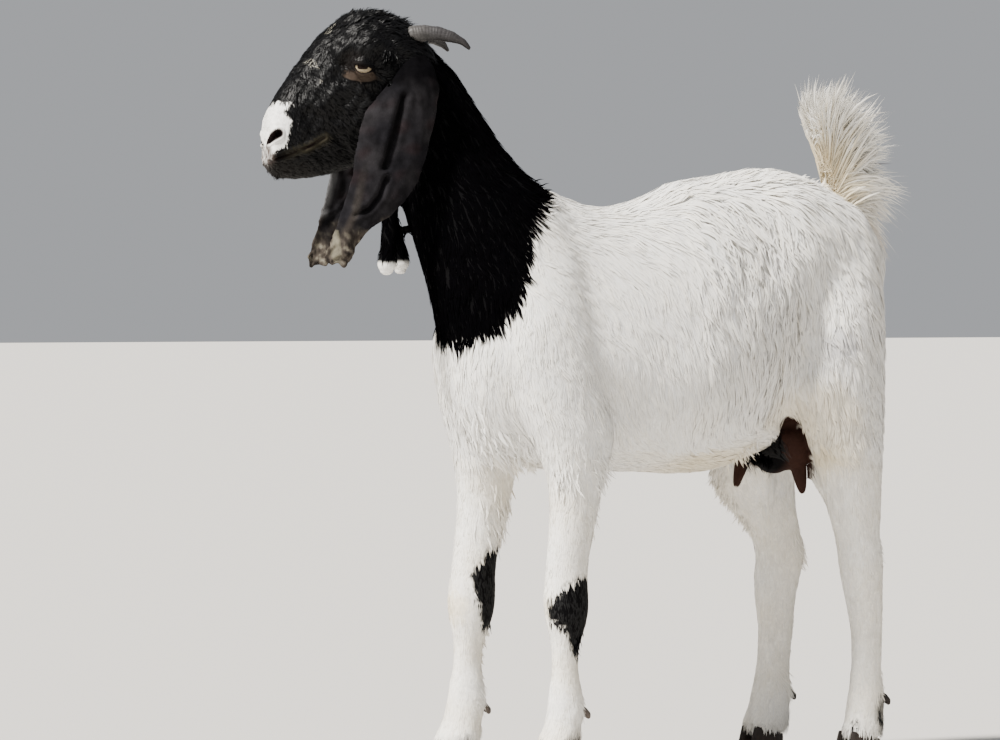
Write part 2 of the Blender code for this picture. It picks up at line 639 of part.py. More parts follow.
def claw(name, x, y, inner_side, collection):
    """One horn shoe, its sole flat on the ground, cut off square to the slope of the coronet."""
    half = CLAW_WIDTH / 2
    rings = [
        claw_outline(x - SOLE_LENGTH * 0.60, x + SOLE_LENGTH * 0.40, half, 0.0, y, inner_side),
        claw_outline(x - SOLE_LENGTH * 0.58, x + SOLE_LENGTH * 0.40, half, 0.005, y, inner_side),
        claw_outline(x - SOLE_LENGTH * 0.53, x + SOLE_LENGTH * 0.40, half, 0.016, y, inner_side),
        claw_outline(x - SOLE_LENGTH * 0.44, x + SOLE_LENGTH * 0.38, half * 0.97, 0.032, y, inner_side),
        claw_outline(x - SOLE_LENGTH * 0.38, x + SOLE_LENGTH * 0.34, half * 0.90, 0.048, y, inner_side),
    ]
    made = skinned_rings(name, rings, collection, "hoof")
    bm = bmesh.new()
    bm.from_mesh(made.data)
    tilt = Vector((math.sin(CORONET_SLOPE), 0, math.cos(CORONET_SLOPE)))
    cut_at = Vector((x, y, CORONET_HEIGHT)) - tilt * GAP
    geometry = [*bm.verts, *bm.edges, *bm.faces]
    cut = bmesh.ops.bisect_plane(bm, geom=geometry, plane_co=cut_at, plane_no=tilt, clear_outer=True)
    rim = [item for item in cut["geom_cut"] if isinstance(item, bmesh.types.BMEdge)]
    bmesh.ops.contextual_create(bm, geom=rim)
    bmesh.ops.recalc_face_normals(bm, faces=bm.faces)
    bm.to_mesh(made.data)
    bm.free()
    return made


def hooves(name, stance, collection):
    x, y = foot_forward(stance), stance.side * stance.foot_y
    return [claw(f"{name}_claw_{label}", x, y + side * CLAW_SPREAD, -side, collection)
            for label, side in (("right", 1), ("left", -1))]


def dewclaws(name, stance, collection):
    """Two small horn studs behind the fetlock."""
    back = max(row[0] + row[2] for row in stance.table if abs(row[1] - DEWCLAW_HEIGHT) < 0.012)
    x = stance.foot_x + back - lean_at(stance, DEWCLAW_HEIGHT)
    made = []
    for label, side in (("right", 1), ("left", -1)):
        y = stance.side * stance.foot_y + side * 0.0105
        stations = [
            ((x - 0.013, y, DEWCLAW_HEIGHT + 0.003), 0.0055),
            ((x - 0.002, y + side * 0.001, DEWCLAW_HEIGHT - 0.001), 0.0056),
            ((x + 0.004, y + side * 0.002, DEWCLAW_HEIGHT - 0.006), 0.0042),
            ((x + 0.006, y + side * 0.002, DEWCLAW_HEIGHT - 0.010), 0.0018),
        ]
        made.append(tube(f"{name}_dewclaw_{label}", stations, collection, "hoof", around=6, steps=1))
    return made


# ---------------------------------------------------------------- parting the flesh
def slab(name, centre, normal, size, thickness, collection):
    """A box whose thin way is along normal, for a cut through a limb."""
    bm = bmesh.new()
    turn_to = normal.normalized().to_track_quat("Z", "Y").to_matrix().to_4x4()
    shape = Matrix.Diagonal((size[0], size[1], thickness, 1.0))
    bmesh.ops.create_cube(bm, size=1.0, matrix=Matrix.Translation(centre) @ turn_to @ shape)
    made = object_from(bm, name, collection)
    made.hide_render = True
    made.display_type = "WIRE"
    return made


def cuts(collection):
    """Thin slabs where the flesh is parted, and blocks that end the legs at the coronet."""
    made = [
        slab("cut_neck", Vector((-0.036, 0.0, 0.632)), Vector((-0.80, 0.0, 0.60)), (0.30, 0.30), GAP, collection),
        slab("cut_head", HEAD_PLACE @ Vector((-0.136, 0.0, 0.828)),
             HEAD_PLACE.to_3x3() @ Vector((-0.90, 0.0, 0.436)), (0.22, 0.24), GAP, collection),
    ]
    for name, stance in LEGS.items():
        front = name.startswith("front")
        y = stance.side * stance.foot_y
        top = Vector((stance.foot_x + 0.012, y, 0.400)) if front else Vector((0.462, y, 0.420))
        lift = -0.62 * stance.side
        made.append(slab("cut_" + name, top, Vector((0.0, lift, 1.0)), (0.16, 0.150), GAP, collection))
        joint = Vector((stance.foot_x - lean_at(stance, 0.19), y, 0.190 if front else 0.215))
        made.append(slab("cut_shank_" + name, joint, Vector((0.0, 0.0, 1.0)), (0.10, 0.08), GAP, collection))
        normal = Vector((math.sin(CORONET_SLOPE), 0.0, math.cos(CORONET_SLOPE)))
        centre = Vector((foot_forward(stance), y, CORONET_HEIGHT)) - normal * 0.02
        made.append(slab("end_" + name, centre, normal, (0.12, 0.08), 0.04, collection))
    return made


def joined_cutters(cutters, collection):
    joined = bmesh.new()
    for cutter in cutters:
        joined.from_mesh(cutter.data)
        bpy.data.objects.remove(cutter)
    made = object_from(joined, "cutters", collection)
    made.hide_render = True
    made.display_type = "WIRE"
    return made


def grown(source, name, collection):
    """A copy of a body made larger all round by the clearance."""
    made = bpy.data.objects.new(name, source.data.copy())
    collection.objects.link(made)
    made.hide_render = True
    made.display_type = "WIRE"
    swollen = made.modifiers.new("clearance", "DISPLACE")
    swollen.strength = GAP
    swollen.mid_level = 0.0
    apply_modifiers(made)
    return made


def trim(target, neighbour, collection):
    """Cuts away what would lie within a neighbour, and leaves the clearance."""
    room = grown(neighbour, "room", collection)
    boolean(target, "DIFFERENCE", room)
    bpy.data.objects.remove(room)


def loose_bodies(source):
    """The separate bodies of a mesh, each as a list of face indices."""
    bm = bmesh.new()
    bm.from_mesh(source.data)
    unseen = set(bm.faces)
    bodies = []
    while unseen:
        front = [unseen.pop()]
        body = list(front)
        while front:
            face = front.pop()
            near = {other for edge in face.edges for other in edge.link_faces} & unseen
            unseen -= near
            front.extend(near)
            body.extend(near)
        bodies.append([face.index for face in body])
    bm.free()
    return bodies


FLESH_NAMES = {
    "head": (Vector((-0.22, 0.08, 0.84)), "black coat"),
    "neck": (Vector((-0.06, 0.01, 0.72)), "black coat"),
    "trunk": (Vector((0.25, 0.00, 0.55)), "white coat"),
}


def flesh_places():
    places = dict(FLESH_NAMES)
    for name, stance in LEGS.items():
        y = stance.side * stance.foot_y
        places[name + "_leg"] = (Vector((stance.foot_x, y, 0.31)), "white coat")
        places[name + "_shank"] = (Vector((stance.foot_x, y, 0.11)), "white coat")
    return places


def part_flesh(flesh, collection):
    """Makes each loose body of the cut flesh an object named for where it lies."""
    places = flesh_places()
    made = {}
    for body in loose_bodies(flesh):
        bm = bmesh.new()
        bm.from_mesh(flesh.data)
        bm.faces.ensure_lookup_table()
        kept = {bm.faces[i] for i in body}
        bmesh.ops.delete(bm, geom=[face for face in bm.faces if face not in kept], context="FACES")
        corners = [vertex.co for vertex in bm.verts]
        middle = Vector([(min(c[k] for c in corners) + max(c[k] for c in corners)) / 2 for k in range(3)])
        name = min(places, key=lambda key: (places[key][0] - middle).length)
        made[name] = object_from(bm, name, collection, places.pop(name)[1])
    bpy.data.objects.remove(flesh)
    return made


def set_on_floor_centre(collection):
    """Moves the goat so that its box stands on the origin by the middle of its underside."""
    bodies = [body for body in collection.objects if body.type == "MESH"]
    corners = [vertex.co for body in bodies for vertex in body.data.vertices]
    low = Vector([min(c[k] for c in corners) for k in range(3)])
    high = Vector([max(c[k] for c in corners) for k in range(3)])
    shift = Vector((-(low.x + high.x) / 2, -(low.y + high.y) / 2, -low.z))
    for body in bodies:
        body.data.transform(Matrix.Translation(shift))


def main():
    clear_scene()
    goat = new_collection("goat")
    moulds = new_collection("moulds")
    forms = [loft("trunk_form", trunk_sections(), moulds, around=40, steps=5),
             loft("neck_form", neck_sections(), moulds, steps=5),
             loft("head_form", head_sections(), moulds, steps=4)]
    for name, stance in LEGS.items():
        forms.append(loft(name + "_form", leg_sections(stance), moulds, around=20, steps=3))
    flesh = fused_flesh(forms, moulds)
    for form in forms:
        bpy.data.objects.remove(form)
    thinned(flesh)
    for vertex in flesh.data.vertices:
        vertex.co = turned(vertex.co)
    boolean(flesh, "DIFFERENCE", joined_cutters(cuts(moulds), moulds))
    body = part_flesh(flesh, goat)

    pieces = head_pieces(goat)
    eyes = [piece for piece in pieces if piece.name.startswith("eye")]
    for piece in pieces:
        if piece not in eyes:
            trim(piece, body["head"], moulds)
    for eye in eyes:
        trim(body["head"], eye, moulds)
    trim(tail_body(goat), body["trunk"], moulds)
    udder = udder_body(goat)
    for neighbour in ("trunk", "hind_left_leg", "hind_right_leg"):
        trim(udder, body[neighbour], moulds)
    for name, stance in LEGS.items():
        hooves(name, stance, goat)
        for stud in dewclaws(name, stance, goat):
            trim(stud, body[name + "_shank"], moulds)
    set_on_floor_centre(goat)


main()
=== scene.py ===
import math

import bmesh
import bpy
import numpy as np
from mathutils import Matrix, Vector
from mathutils.bvhtree import BVHTree
from mathutils.kdtree import KDTree


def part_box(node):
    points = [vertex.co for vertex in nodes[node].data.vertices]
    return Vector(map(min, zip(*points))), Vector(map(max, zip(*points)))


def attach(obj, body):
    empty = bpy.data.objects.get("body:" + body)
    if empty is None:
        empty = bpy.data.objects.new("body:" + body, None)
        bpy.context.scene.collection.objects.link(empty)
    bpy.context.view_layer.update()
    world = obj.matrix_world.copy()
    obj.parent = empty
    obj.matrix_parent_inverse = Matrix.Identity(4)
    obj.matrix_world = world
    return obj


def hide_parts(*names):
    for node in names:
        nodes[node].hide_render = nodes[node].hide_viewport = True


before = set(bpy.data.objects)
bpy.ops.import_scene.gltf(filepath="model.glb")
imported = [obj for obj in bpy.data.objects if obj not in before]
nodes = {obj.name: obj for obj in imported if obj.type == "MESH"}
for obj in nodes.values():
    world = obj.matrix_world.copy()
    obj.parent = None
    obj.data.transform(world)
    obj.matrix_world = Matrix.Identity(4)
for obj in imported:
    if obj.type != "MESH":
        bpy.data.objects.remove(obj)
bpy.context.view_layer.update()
print("frame loaded,", len(nodes), "solids")

# The goat was first shaped straight, facing -X, with its left side towards -Y, and then its
# neck was turned and the whole was shifted. Places here are given on that straight goat, in mm
# in the tables, and those on the head before its turn. The eye's place is given on the +Y side.
goatPlan = {"neckTurn": math.radians(22), "eyeSpot": (-0.2215, 0.0460, 0.8750), "eyeRadius": 0.0140}
bendPlan = {"hinge": (-0.020, 0.640), "way": (-0.447, 0.894), "start": -0.010, "over": 0.175,
            "front": 0.05, "fade": 0.10}


def inMetres(values):
    return np.array(values, float) / 1000


def turnedBy(p, angle):
    c, s = np.cos(angle), np.sin(angle)
    x, y, z = p.T
    return np.stack([x * c - y * s, x * s + y * c, z], 1)


def findShift():
    low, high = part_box("eye_left")
    x, y, z = goatPlan["eyeSpot"]
    spot = Matrix.Rotation(-goatPlan["neckTurn"], 3, "Z") @ Vector((x, -y, z))
    return np.array(((low.x + high.x) / 2 - spot.x, (low.y + high.y) / 2 - spot.y, 0.0))


shift = findShift()
eyeSpot = np.array(goatPlan["eyeSpot"])


def toBody(p):
    return p - shift


def toHead(p):
    return turnedBy(p - shift, goatPlan["neckTurn"])


def fromHead(p):
    return turnedBy(np.atleast_2d(np.array(p, float)), -goatPlan["neckTurn"]) + shift


def turnShare(p):
    x, _, z = p.T
    (hingeX, hingeZ), (wayX, wayZ) = bendPlan["hinge"], bendPlan["way"]
    along = (x - hingeX) * wayX + (z - hingeZ) * wayZ
    share = np.clip((along - bendPlan["start"]) / bendPlan["over"], 0, 1)
    return (3 * share ** 2 - 2 * share ** 3) * np.clip((bendPlan["front"] - x) / bendPlan["fade"], 0, 1)


def fromStraight(p):
    p = np.atleast_2d(np.array(p, float))
    return turnedBy(p, -goatPlan["neckTurn"] * turnShare(p)) + shift


def folded(p):
    # The same points with both sides brought to +Y.
    return np.stack([p[:, 0], np.abs(p[:, 1]), p[:, 2]], 1)


def eyeCentres(h):
    # The centre of the eye on each point's own side.
    x, y, z = eyeSpot
    return np.stack([np.full(len(h), x), y * np.sign(h[:, 1]), np.full(len(h), z)], 1)


def smoothStep(value, low, high):
    share = np.clip((value - low) / (high - low), 0, 1)
    return share * share * (3 - 2 * share)


def clipped(value):
    return np.clip(value, 0, 1)


def bell(value, width):
    return np.exp(-(value / width) ** 2)


def unit(v):
    return v / np.maximum(np.linalg.norm(v, axis=-1, keepdims=True), 1e-9)


def ripple(p, size, seed):
    # Smooth noise from -1 to 1, a sum of crossing waves about size across.
    draw = np.random.default_rng(seed)
    total = np.zeros(len(p))
    waves = 7
    for _ in range(waves):
        way = unit(draw.normal(size=3)) * draw.uniform(0.7, 1.6) * 2 * math.pi / (size * 2)
        total += np.sin(p @ way + draw.uniform(0, 2 * math.pi))
    return total / 3.2


# Helpers for objects and meshes


def newObject(name, data):
    made = bpy.data.objects.new(name, data)
    bpy.context.scene.collection.objects.link(made)
    return made


def pointed(made, way):
    made.rotation_mode = "QUATERNION"
    made.rotation_quaternion = Vector(way).to_track_quat("-Z", "Y")


def meshFrom(bm, name):
    mesh = bpy.data.meshes.new(name)
    bm.to_mesh(mesh)
    bm.free()
    return mesh


def mergedCopy(name):
    # A CAD node's mesh with its corners joined, as a bmesh.
    bm = bmesh.new()
    bm.from_mesh(nodes[name].data)
    bmesh.ops.remove_doubles(bm, verts=bm.verts, dist=1e-5)
    bmesh.ops.recalc_face_normals(bm, faces=bm.faces)
    bm.normal_update()
    return bm


def remeshed(bm, name, voxel):
    # One closed even mesh round all that bm holds.
    rough = newObject(name + ".rough", meshFrom(bm, name + ".rough"))
    fuse = rough.modifiers.new("fuse", "REMESH")
    fuse.mode, fuse.voxel_size = "VOXEL", voxel
    graph = bpy.context.evaluated_depsgraph_get()
    graph.update()
    fine = bpy.data.meshes.new_from_object(rough.evaluated_get(graph))
    bpy.data.objects.remove(rough)
    fine.name = name
    return fine


def outward(mesh, cut=False):
    bm = bmesh.new()
    bm.from_mesh(mesh)
    if cut:
        bmesh.ops.triangulate(bm, faces=bm.faces)
    bmesh.ops.recalc_face_normals(bm, faces=bm.faces)
    bm.to_mesh(mesh)
    bm.free()
    smoothShade(mesh)


def readFlat(items, key, size, kind):
    flat = np.empty(len(items) * size, kind)
    items.foreach_get(key, flat)
    return flat.reshape(-1, size) if size > 1 else flat


def writeFlat(items, key, values, kind=np.float32):
    items.foreach_set(key, np.ascontiguousarray(values, kind).ravel())


def points(mesh):
    return readFlat(mesh.vertices, "co", 3, np.float32).astype(float)


def setPoints(mesh, p):
    writeFlat(mesh.vertices, "co", p)
    mesh.update()


def corners(mesh):
    mesh.calc_loop_triangles()
    return readFlat(mesh.loop_triangles, "vertices", 3, np.int32)


def edgesOf(mesh):
    return readFlat(mesh.edges, "vertices", 2, np.int32)


def vertexNormals(p, triangles):
    a, b, c = (p[triangles[:, i]] for i in range(3))
    face = np.cross(b - a, c - a)
    total = np.zeros_like(p)
    for i in range(3):
        for axis in range(3):
            total[:, axis] += np.bincount(triangles[:, i], face[:, axis], len(p))
    return unit(total)


def normalsOf(mesh):
    return vertexNormals(points(mesh), corners(mesh))


def softened(p, edges, rounds):
    # Each point moves towards its neighbours' middle, as many times as rounds says for it.
    count = np.bincount(edges.ravel(), minlength=len(p)).astype(float)
    for turn in range(int(rounds.max())):
        total = np.zeros_like(p)
        for axis in range(3):
            total[:, axis] = np.bincount(edges[:, 0], p[edges[:, 1], axis], len(p)) \
                + np.bincount(edges[:, 1], p[edges[:, 0], axis], len(p))
        share = clipped(rounds - turn)[:, None] * 0.5
        p = p + (total / np.maximum(count, 1)[:, None] - p) * share
    return p


def softenedValues(values, edges, rounds):
    return softened(np.repeat(values[:, None], 3, 1), edges, rounds)[:, 0]


def setAttribute(mesh, name, kind, values, key):
    writeFlat(mesh.attributes.new(name, kind, "POINT").data, key, values)


def setTone(mesh, colour):
    opaque = np.ones((*colour.shape[:-1], 1))
    setAttribute(mesh, "coatTone", "FLOAT_COLOR", np.concatenate([colour, opaque], -1), "color")


def setGrowth(mesh, along, growth):
    # How far along a horn each point lies, and a place that its streaks follow.
    setAttribute(mesh, "along", "FLOAT", along, "value")
    setAttribute(mesh, "growth", "FLOAT_VECTOR", growth, "vector")


def smoothShade(mesh):
    mesh.polygons.foreach_set("use_smooth", np.ones(len(mesh.polygons), bool))


# Helpers for finishes


def feed(tree, made, inputs):
    # Each named input gets a link from a socket, or a constant.
    for key, value in inputs.items():
        if isinstance(value, bpy.types.NodeSocket):
            tree.links.new(value, made.inputs[key])
        else:
            made.inputs[key].default_value = value


def nodeOf(tree, kind, place, inputs=None, **values):
    made = tree.nodes.new(kind)
    made.location = place
    for key, value in values.items():
        setattr(made, key, value)
    feed(tree, made, inputs or {})
    return made


def readAttribute(tree, name, place, output):
    return nodeOf(tree, "ShaderNodeAttribute", place, attribute_name=name).outputs[output]


def newFinish(name, roughness, specular=None):
    finish = bpy.data.materials.new(name)
    finish.use_nodes = True
    tree = finish.node_tree
    shader = tree.nodes["Principled BSDF"]
    shader.inputs["Roughness"].default_value = roughness
    if specular is not None:
        shader.inputs["Specular IOR Level"].default_value = specular
    return finish, tree, shader


def mottleGroup():
    # uneven shade over a tone, and the height that goes with it
    group = bpy.data.node_groups.new("mottle", "ShaderNodeTree")
    for way, name, kind in (
            ("INPUT", "Tone", "Color"), ("INPUT", "Place", "Vector"), ("INPUT", "Size", "Float"),
            ("INPUT", "Detail", "Float"), ("INPUT", "Low", "Float"), ("INPUT", "High", "Float"),
            ("OUTPUT", "Colour", "Color"), ("OUTPUT", "Height", "Float")):
        group.interface.new_socket(name, in_out=way, socket_type="NodeSocket" + kind)
    given = nodeOf(group, "NodeGroupInput", (-600, 0)).outputs
    sizes = {"Vector": given["Place"], "Scale": given["Size"], "Detail": given["Detail"]}
    noise = nodeOf(group, "ShaderNodeTexNoise", (-380, -80), sizes).outputs["Fac"]
    limits = {"From Min": 0.30, "From Max": 0.70, "To Min": given["Low"], "To Max": given["High"]}
    shade = nodeOf(group, "ShaderNodeMapRange", (-180, 0), {"Value": noise, **limits})
    tinted = nodeOf(group, "ShaderNodeVectorMath", (0, 80),
                    {0: given["Tone"], "Scale": shade.outputs["Result"]}, operation="SCALE")
    nodeOf(group, "NodeGroupOutput", (200, 0), {"Colour": tinted.outputs["Vector"], "Height": noise})
    return group


mottle = mottleGroup()


def addMottle(tree, place, tone, where, size, detail, low, high):
    made = nodeOf(tree, "ShaderNodeGroup", place, node_tree=mottle)
    feed(tree, made, {"Tone": tone, "Place": where, "Size": size, "Detail": detail, "Low": low, "High": high})
    return made.outputs["Colour"], made.outputs["Height"]


def addBump(tree, place, height, strength, distance, below=None):
    inputs = {"Strength": strength, "Distance": distance, "Height": height}
    if below:
        inputs["Normal"] = below
    return nodeOf(tree, "ShaderNodeBump", place, inputs).outputs["Normal"]


def dress(tree, shader, colour, normal):
    feed(tree, shader, {"Base Color": colour, "Normal": normal})


def finishPiece(name, mesh, finish, slotName, *replaced):
    mesh.materials.clear()
    mesh.materials.append(finish)
    made = newObject(name, mesh)
    mesh.name = name
    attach(made, "root")
    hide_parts(*replaced)
    return made


# Camera, floor and light

cameraPlan = {"aim": (-0.022, 0.018, 0.500), "azimuth": -39, "distance": 9.0, "height": 0.60,
              "lens": 259.2, "sensor": 36, "reach": 200}


def placeCamera():
    aim = Vector(cameraPlan["aim"]) + Vector(shift)
    turn = math.radians(cameraPlan["azimuth"])
    place = aim + Vector((math.sin(turn), -math.cos(turn), 0)) * cameraPlan["distance"]
    place.z = cameraPlan["height"]
    lens = bpy.data.cameras.new("camera")
    lens.lens, lens.sensor_width = cameraPlan["lens"], cameraPlan["sensor"]
    lens.clip_end = cameraPlan["reach"]
    camera = newObject("camera", lens)
    camera.location = place
    pointed(camera, aim - place)
    bpy.context.scene.camera = camera


studioPlan = {
    "sun": {"energy": 12.5, "angle": math.radians(9), "color": (1.0, 0.965, 0.91)},
    "sunWay": (0.84, 0.02, -1.0),
    "fill": {"energy": 30, "color": (0.90, 0.95, 1.0), "shape": "DISK", "size": 3.0},
    "fillPlace": (-4.5, -2.5, 1.6), "fillAim": (0, 0, 0.5),
    "sky": (0.93, 0.955, 1.0), "skyStrength": 0.44,
    "floorTone": (0.54, 0.52, 0.49), "floorHalf": 60, "floorRoughness": 0.9,
}


def addLamp(name, kind, way, settings):
    lamp = bpy.data.lights.new(name, kind)
    for key, value in settings.items():
        setattr(lamp, key, value)
    holder = newObject(name, lamp)
    pointed(holder, way)
    return holder


def lightStudio():
    world = bpy.data.worlds.new("studio")
    bpy.context.scene.world = world
    world.use_nodes = True
    sky = world.node_tree.nodes["Background"]
    sky.inputs["Color"].default_value = (*studioPlan["sky"], 1)
    sky.inputs["Strength"].default_value = studioPlan["skyStrength"]
    place = Vector(studioPlan["fillPlace"])
    addLamp("fillLamp", "AREA", Vector(studioPlan["fillAim"]) - place, studioPlan["fill"]).location = place
    addLamp("softSun", "SUN", studioPlan["sunWay"], studioPlan["sun"])


def layFloor():
    bm = bmesh.new()
    bmesh.ops.create_grid(bm, x_segments=1, y_segments=1, size=studioPlan["floorHalf"])
    mesh = meshFrom(bm, "floor")
    finish, _, shader = newFinish("paleFloor", studioPlan["floorRoughness"])
    shader.inputs["Base Color"].default_value = (*studioPlan["floorTone"], 1)
    mesh.materials.append(finish)
    floor = newObject("floor", mesh)


placeCamera()
lightStudio()
layFloor()
print("camera, light and floor placed")


# Where the coat is black, white or bare

marksPlan = {
    "white": (0.850, 0.830, 0.785), "black": (0.0012, 0.0011, 0.0014), "cream": (0.760, 0.660, 0.470),
    "dock": (0.42, 0.34, 0.22), "smudge": (0.430, 0.420, 0.440), "udder": (0.026, 0.0115, 0.0082),
    "muzzle": (0.86, 0.845, 0.815), "chin": (0.085, 0.068, 0.060), "lip": (0.0050, 0.0040, 0.0034),
    # The tone round the nostril is painted shade of the groove there.
    "lipTan": (0.034, 0.030, 0.020), "mouth": (0.0050, 0.0022, 0.0020), "nostrilShade": (0.20, 0.18, 0.17),
    # The nostril's tone is painted shade inside its slit.
    "nostril": (0.0050, 0.0022, 0.0022), "lidBrown": (0.040, 0.029, 0.022),
    # The tone of the hollow in front of the eye is painted shade.
    "eyeHollowShade": (0.0045, 0.0033, 0.0030), "lidRim": (0.006, 0.004, 0.0036),
}
wattleBulbs = inMetres([(-184, -24, 629), (-152, 24, 630)])
# heights, and how far back each edge lies there
neckEdge = inMetres([(529, 535, 544, 560, 588, 635, 662, 697, 725, 760),
                     (-160, -113, -96, -80, -63, -47, -35, -13, 16, 40)])
muzzleEdge = inMetres([(750, 759, 768, 775, 784, 798, 808, 815, 821, 826, 832),
                       (-343, -331, -330, -322, -313.5, -307.5, -306.5, -314, -317, -313.5, -306)])
kneeLeft = inMetres([(141, 147, 165, 181, 189, 201, 216, 226, 235, 245, 252),
                     (32, 6, -3, -10, -22, -27, -26, -18, -12, 7, 40)])
kneeRight = inMetres([(174, 178, 189, 199, 211, 224, 240, 255, 263, 274, 280, 288),
                      (20, -18, -24, -28, -30, -33, -34, -32, -22, -14, -8, 30)])
mouthLine = inMetres([(-342, 0, 757), (-336, 14, 757), (-323, 26, 763), (-304, 29, 770), (-285, 29, 777),
                      (-266, 31, 788)])
nostrilLine = inMetres([(-341, 14, 779), (-334, 22, 785), (-324, 29, 793)])
# share, middle and radii of each cream patch, and middle and radii of each dark mark on the feet
creamSpots = [
    (0.55, (405, -100, 435), (60, 50, 55)), (0.50, (420, 100, 435), (60, 50, 55)),
    (0.45, (300, -30, 372), (120, 100, 30)), (0.75, (508, 0, 755), (34, 40, 60)),
    (0.55, (-50, 80, 205), (20, 26, 18)), (0.35, (-30, -80, 205), (18, 26, 18)),
]
footSpots = [
    ((516, -96, 58), (15, 16, 23)), ((453, -88, 45), (9.5, 14, 12.5)), ((432.5, 73, 49), (11, 14, 11.5)),
    ((500, 88, 50), (12, 10, 18)), ((474, -94, 45), (4, 6, 5)), ((4, -98, 40), (18, 10, 12)),
    ((-46, 62, 36), (12, 12, 10)), ((-4, 90, 40), (16, 12, 12)), ((-30, -70, 34), (10, 10, 8)),
]
fleckSpots = [((-249, -13, 927), (5.5, 7, 7.5)), ((-277, -20, 882), (6.5, 10, 5)),
              ((-270, -30, 861), (3, 8, 3))]


def lineDistance(p, line):
    # Distance to a line of points, and how far along it from 0 to 1.
    best, along = np.full(len(p), 9.0), np.zeros(len(p))
    for i, (a, b) in enumerate(zip(line, line[1:])):
        t = clipped(((p - a) @ (b - a)) / ((b - a) @ (b - a)))
        far = np.linalg.norm(p - a - t[:, None] * (b - a), axis=1)
        nearer = far < best
        best[nearer], along[nearer] = far[nearer], (i + t[nearer]) / (len(line) - 1)
    return best, along


def nostrilHalf(along):
    return 0.0014 + 0.0028 * smoothStep(along, 0.0, 0.85)


def nostrilDistance(f):
    # The distance to the nostril's slit as seen from outside, however deep its floor lies.
    out = unit(np.array((-0.62, 0.75, 0.0)))
    return lineDistance(*(p - np.outer(p @ out, out) * 0.85 for p in (f, nostrilLine)))


lidPlan = {"front": math.radians(35), "back": math.radians(62), "middle": math.radians(-4),
           "slope": math.radians(-8), "upper": math.radians(6), "lower": math.radians(29), "thick": 0.0019,
           "gaze": (-0.34, 0.93, 0.05)}
eyeOut = unit(np.array(lidPlan["gaze"]))
eyeBack = unit(np.cross(eyeOut, (0.0, 0.0, 1.0)))
eyeUp = np.cross(eyeBack, eyeOut)


def eyeAngles(h):
    # Angles back and up as seen from the eye's centre, the distance from it and the part outwards.
    d = folded(h) - eyeSpot
    out, back, up = d @ eyeOut, d @ eyeBack, d @ eyeUp
    return np.arctan2(back, out), np.arctan2(up, np.hypot(out, back)), np.linalg.norm(d, axis=1), out


def insideLids(h):
    # How far inside the lids' opening, in metres on the eyeball, negative outside.
    side, rise, _, out = eyeAngles(h)
    reach = np.where(side < 0, lidPlan["front"], lidPlan["back"])
    t = side / reach
    middle = lidPlan["middle"] + lidPlan["slope"] * t
    bow = clipped(1 - t * t)
    upper = middle + lidPlan["upper"] * bow
    lower = middle - lidPlan["lower"] * bow ** 0.8
    inside = np.minimum(upper - rise, rise - lower)
    beyond = np.maximum(np.abs(side) - reach, 0)
    inside = np.where(beyond > 0, -np.hypot(beyond, rise - middle), inside)
    return np.where(out > -0.004, inside * goatPlan["eyeRadius"], -0.05)


def lidBag(h):
    # 1 on the bare fold under the eye.
    back, up = h[:, 0] - eyeSpot[0], h[:, 2] - eyeSpot[2]
    d = np.hypot((back + 0.0045) / 0.0225, (up + 0.0105 + back * 0.10) / 0.0082)
    d += 0.05 * ripple(h, 0.006, 17)
    return smoothStep(1.0 - d, 0.0, 0.16) * (h[:, 0] < -0.18)


def blend(colour, other, share):
    return colour * (1 - share[:, None]) + np.array(other) * share[:, None]


def blob(p, centre, radii):
    # 1 in the middle of a soft round patch and 0 outside it.
    d = (p - inMetres(centre)) / inMetres(radii)
    return np.clip(1.35 - np.linalg.norm(d, axis=1), 0, 0.6) / 0.6


udderPlan = {
    "join": 0.0040,
    "lobes": inMetres([((424, -30, 406), (32, 29, 37)), ((397, 16, 408), (30, 27, 30)),
                       ((406, -9, 396), (25, 25, 33))]),
    # from the top of each teat to its tip, and its radius there
    "teats": [(inMetres((429, -34, 374)), 0.0092, inMetres((432.5, -36, 350)), 0.0066),
              (inMetres((380, 16, 390)), 0.0092, inMetres((367, 14, 359)), 0.0062)],
    "top": 0.424, "groin": ((403, -46, 430), (13, 18, 22)),
}


def udderDistance(q, teats=True):
    # How far each point lies outside the lobes and teats, smoothly joined.
    parts = []
    for middle, radii in udderPlan["lobes"]:
        away = (q - middle) / radii
        far = np.maximum(np.linalg.norm(away, axis=1), 1e-6)
        parts.append(far * (far - 1) / np.linalg.norm(away / radii, axis=1))
    for start, wide, end, slim in udderPlan["teats"] if teats else []:
        line = end - start
        t = clipped((q - start) @ line / (line @ line))
        parts.append(np.linalg.norm(q - start - t[:, None] * line, axis=1) - (wide + (slim - wide) * t))
    return -udderPlan["join"] * np.log(sum(np.exp(-part / udderPlan["join"]) for part in parts))


def kneeMark(q, side, table, wrapStart, wrapEnd):
    # A knee patch: behind a slanting edge on the seen side, and a narrower wrap on the other.
    x, y, z = q[:, 0], q[:, 1] * side, q[:, 2]
    hidden = clipped((y - wrapStart) / (wrapEnd - wrapStart))
    inside = x - np.interp(z, *table) - 0.024 * hidden
    inside = inside + 0.0020 * ripple(q, 0.012, 31) + 0.0015 * ripple(q, 0.005, 32)
    near = (y > 0) & (x < 0.07) & (z > table[0][0]) & (z < table[0][-1])
    return smoothStep(inside, -0.0015, 0.0015) * near


def bulbDistance(h):
    # The distance to the middle of the nearer wattle's bulb.
    return np.minimum(*(np.linalg.norm(h - spot, axis=1) for spot in wattleBulbs))


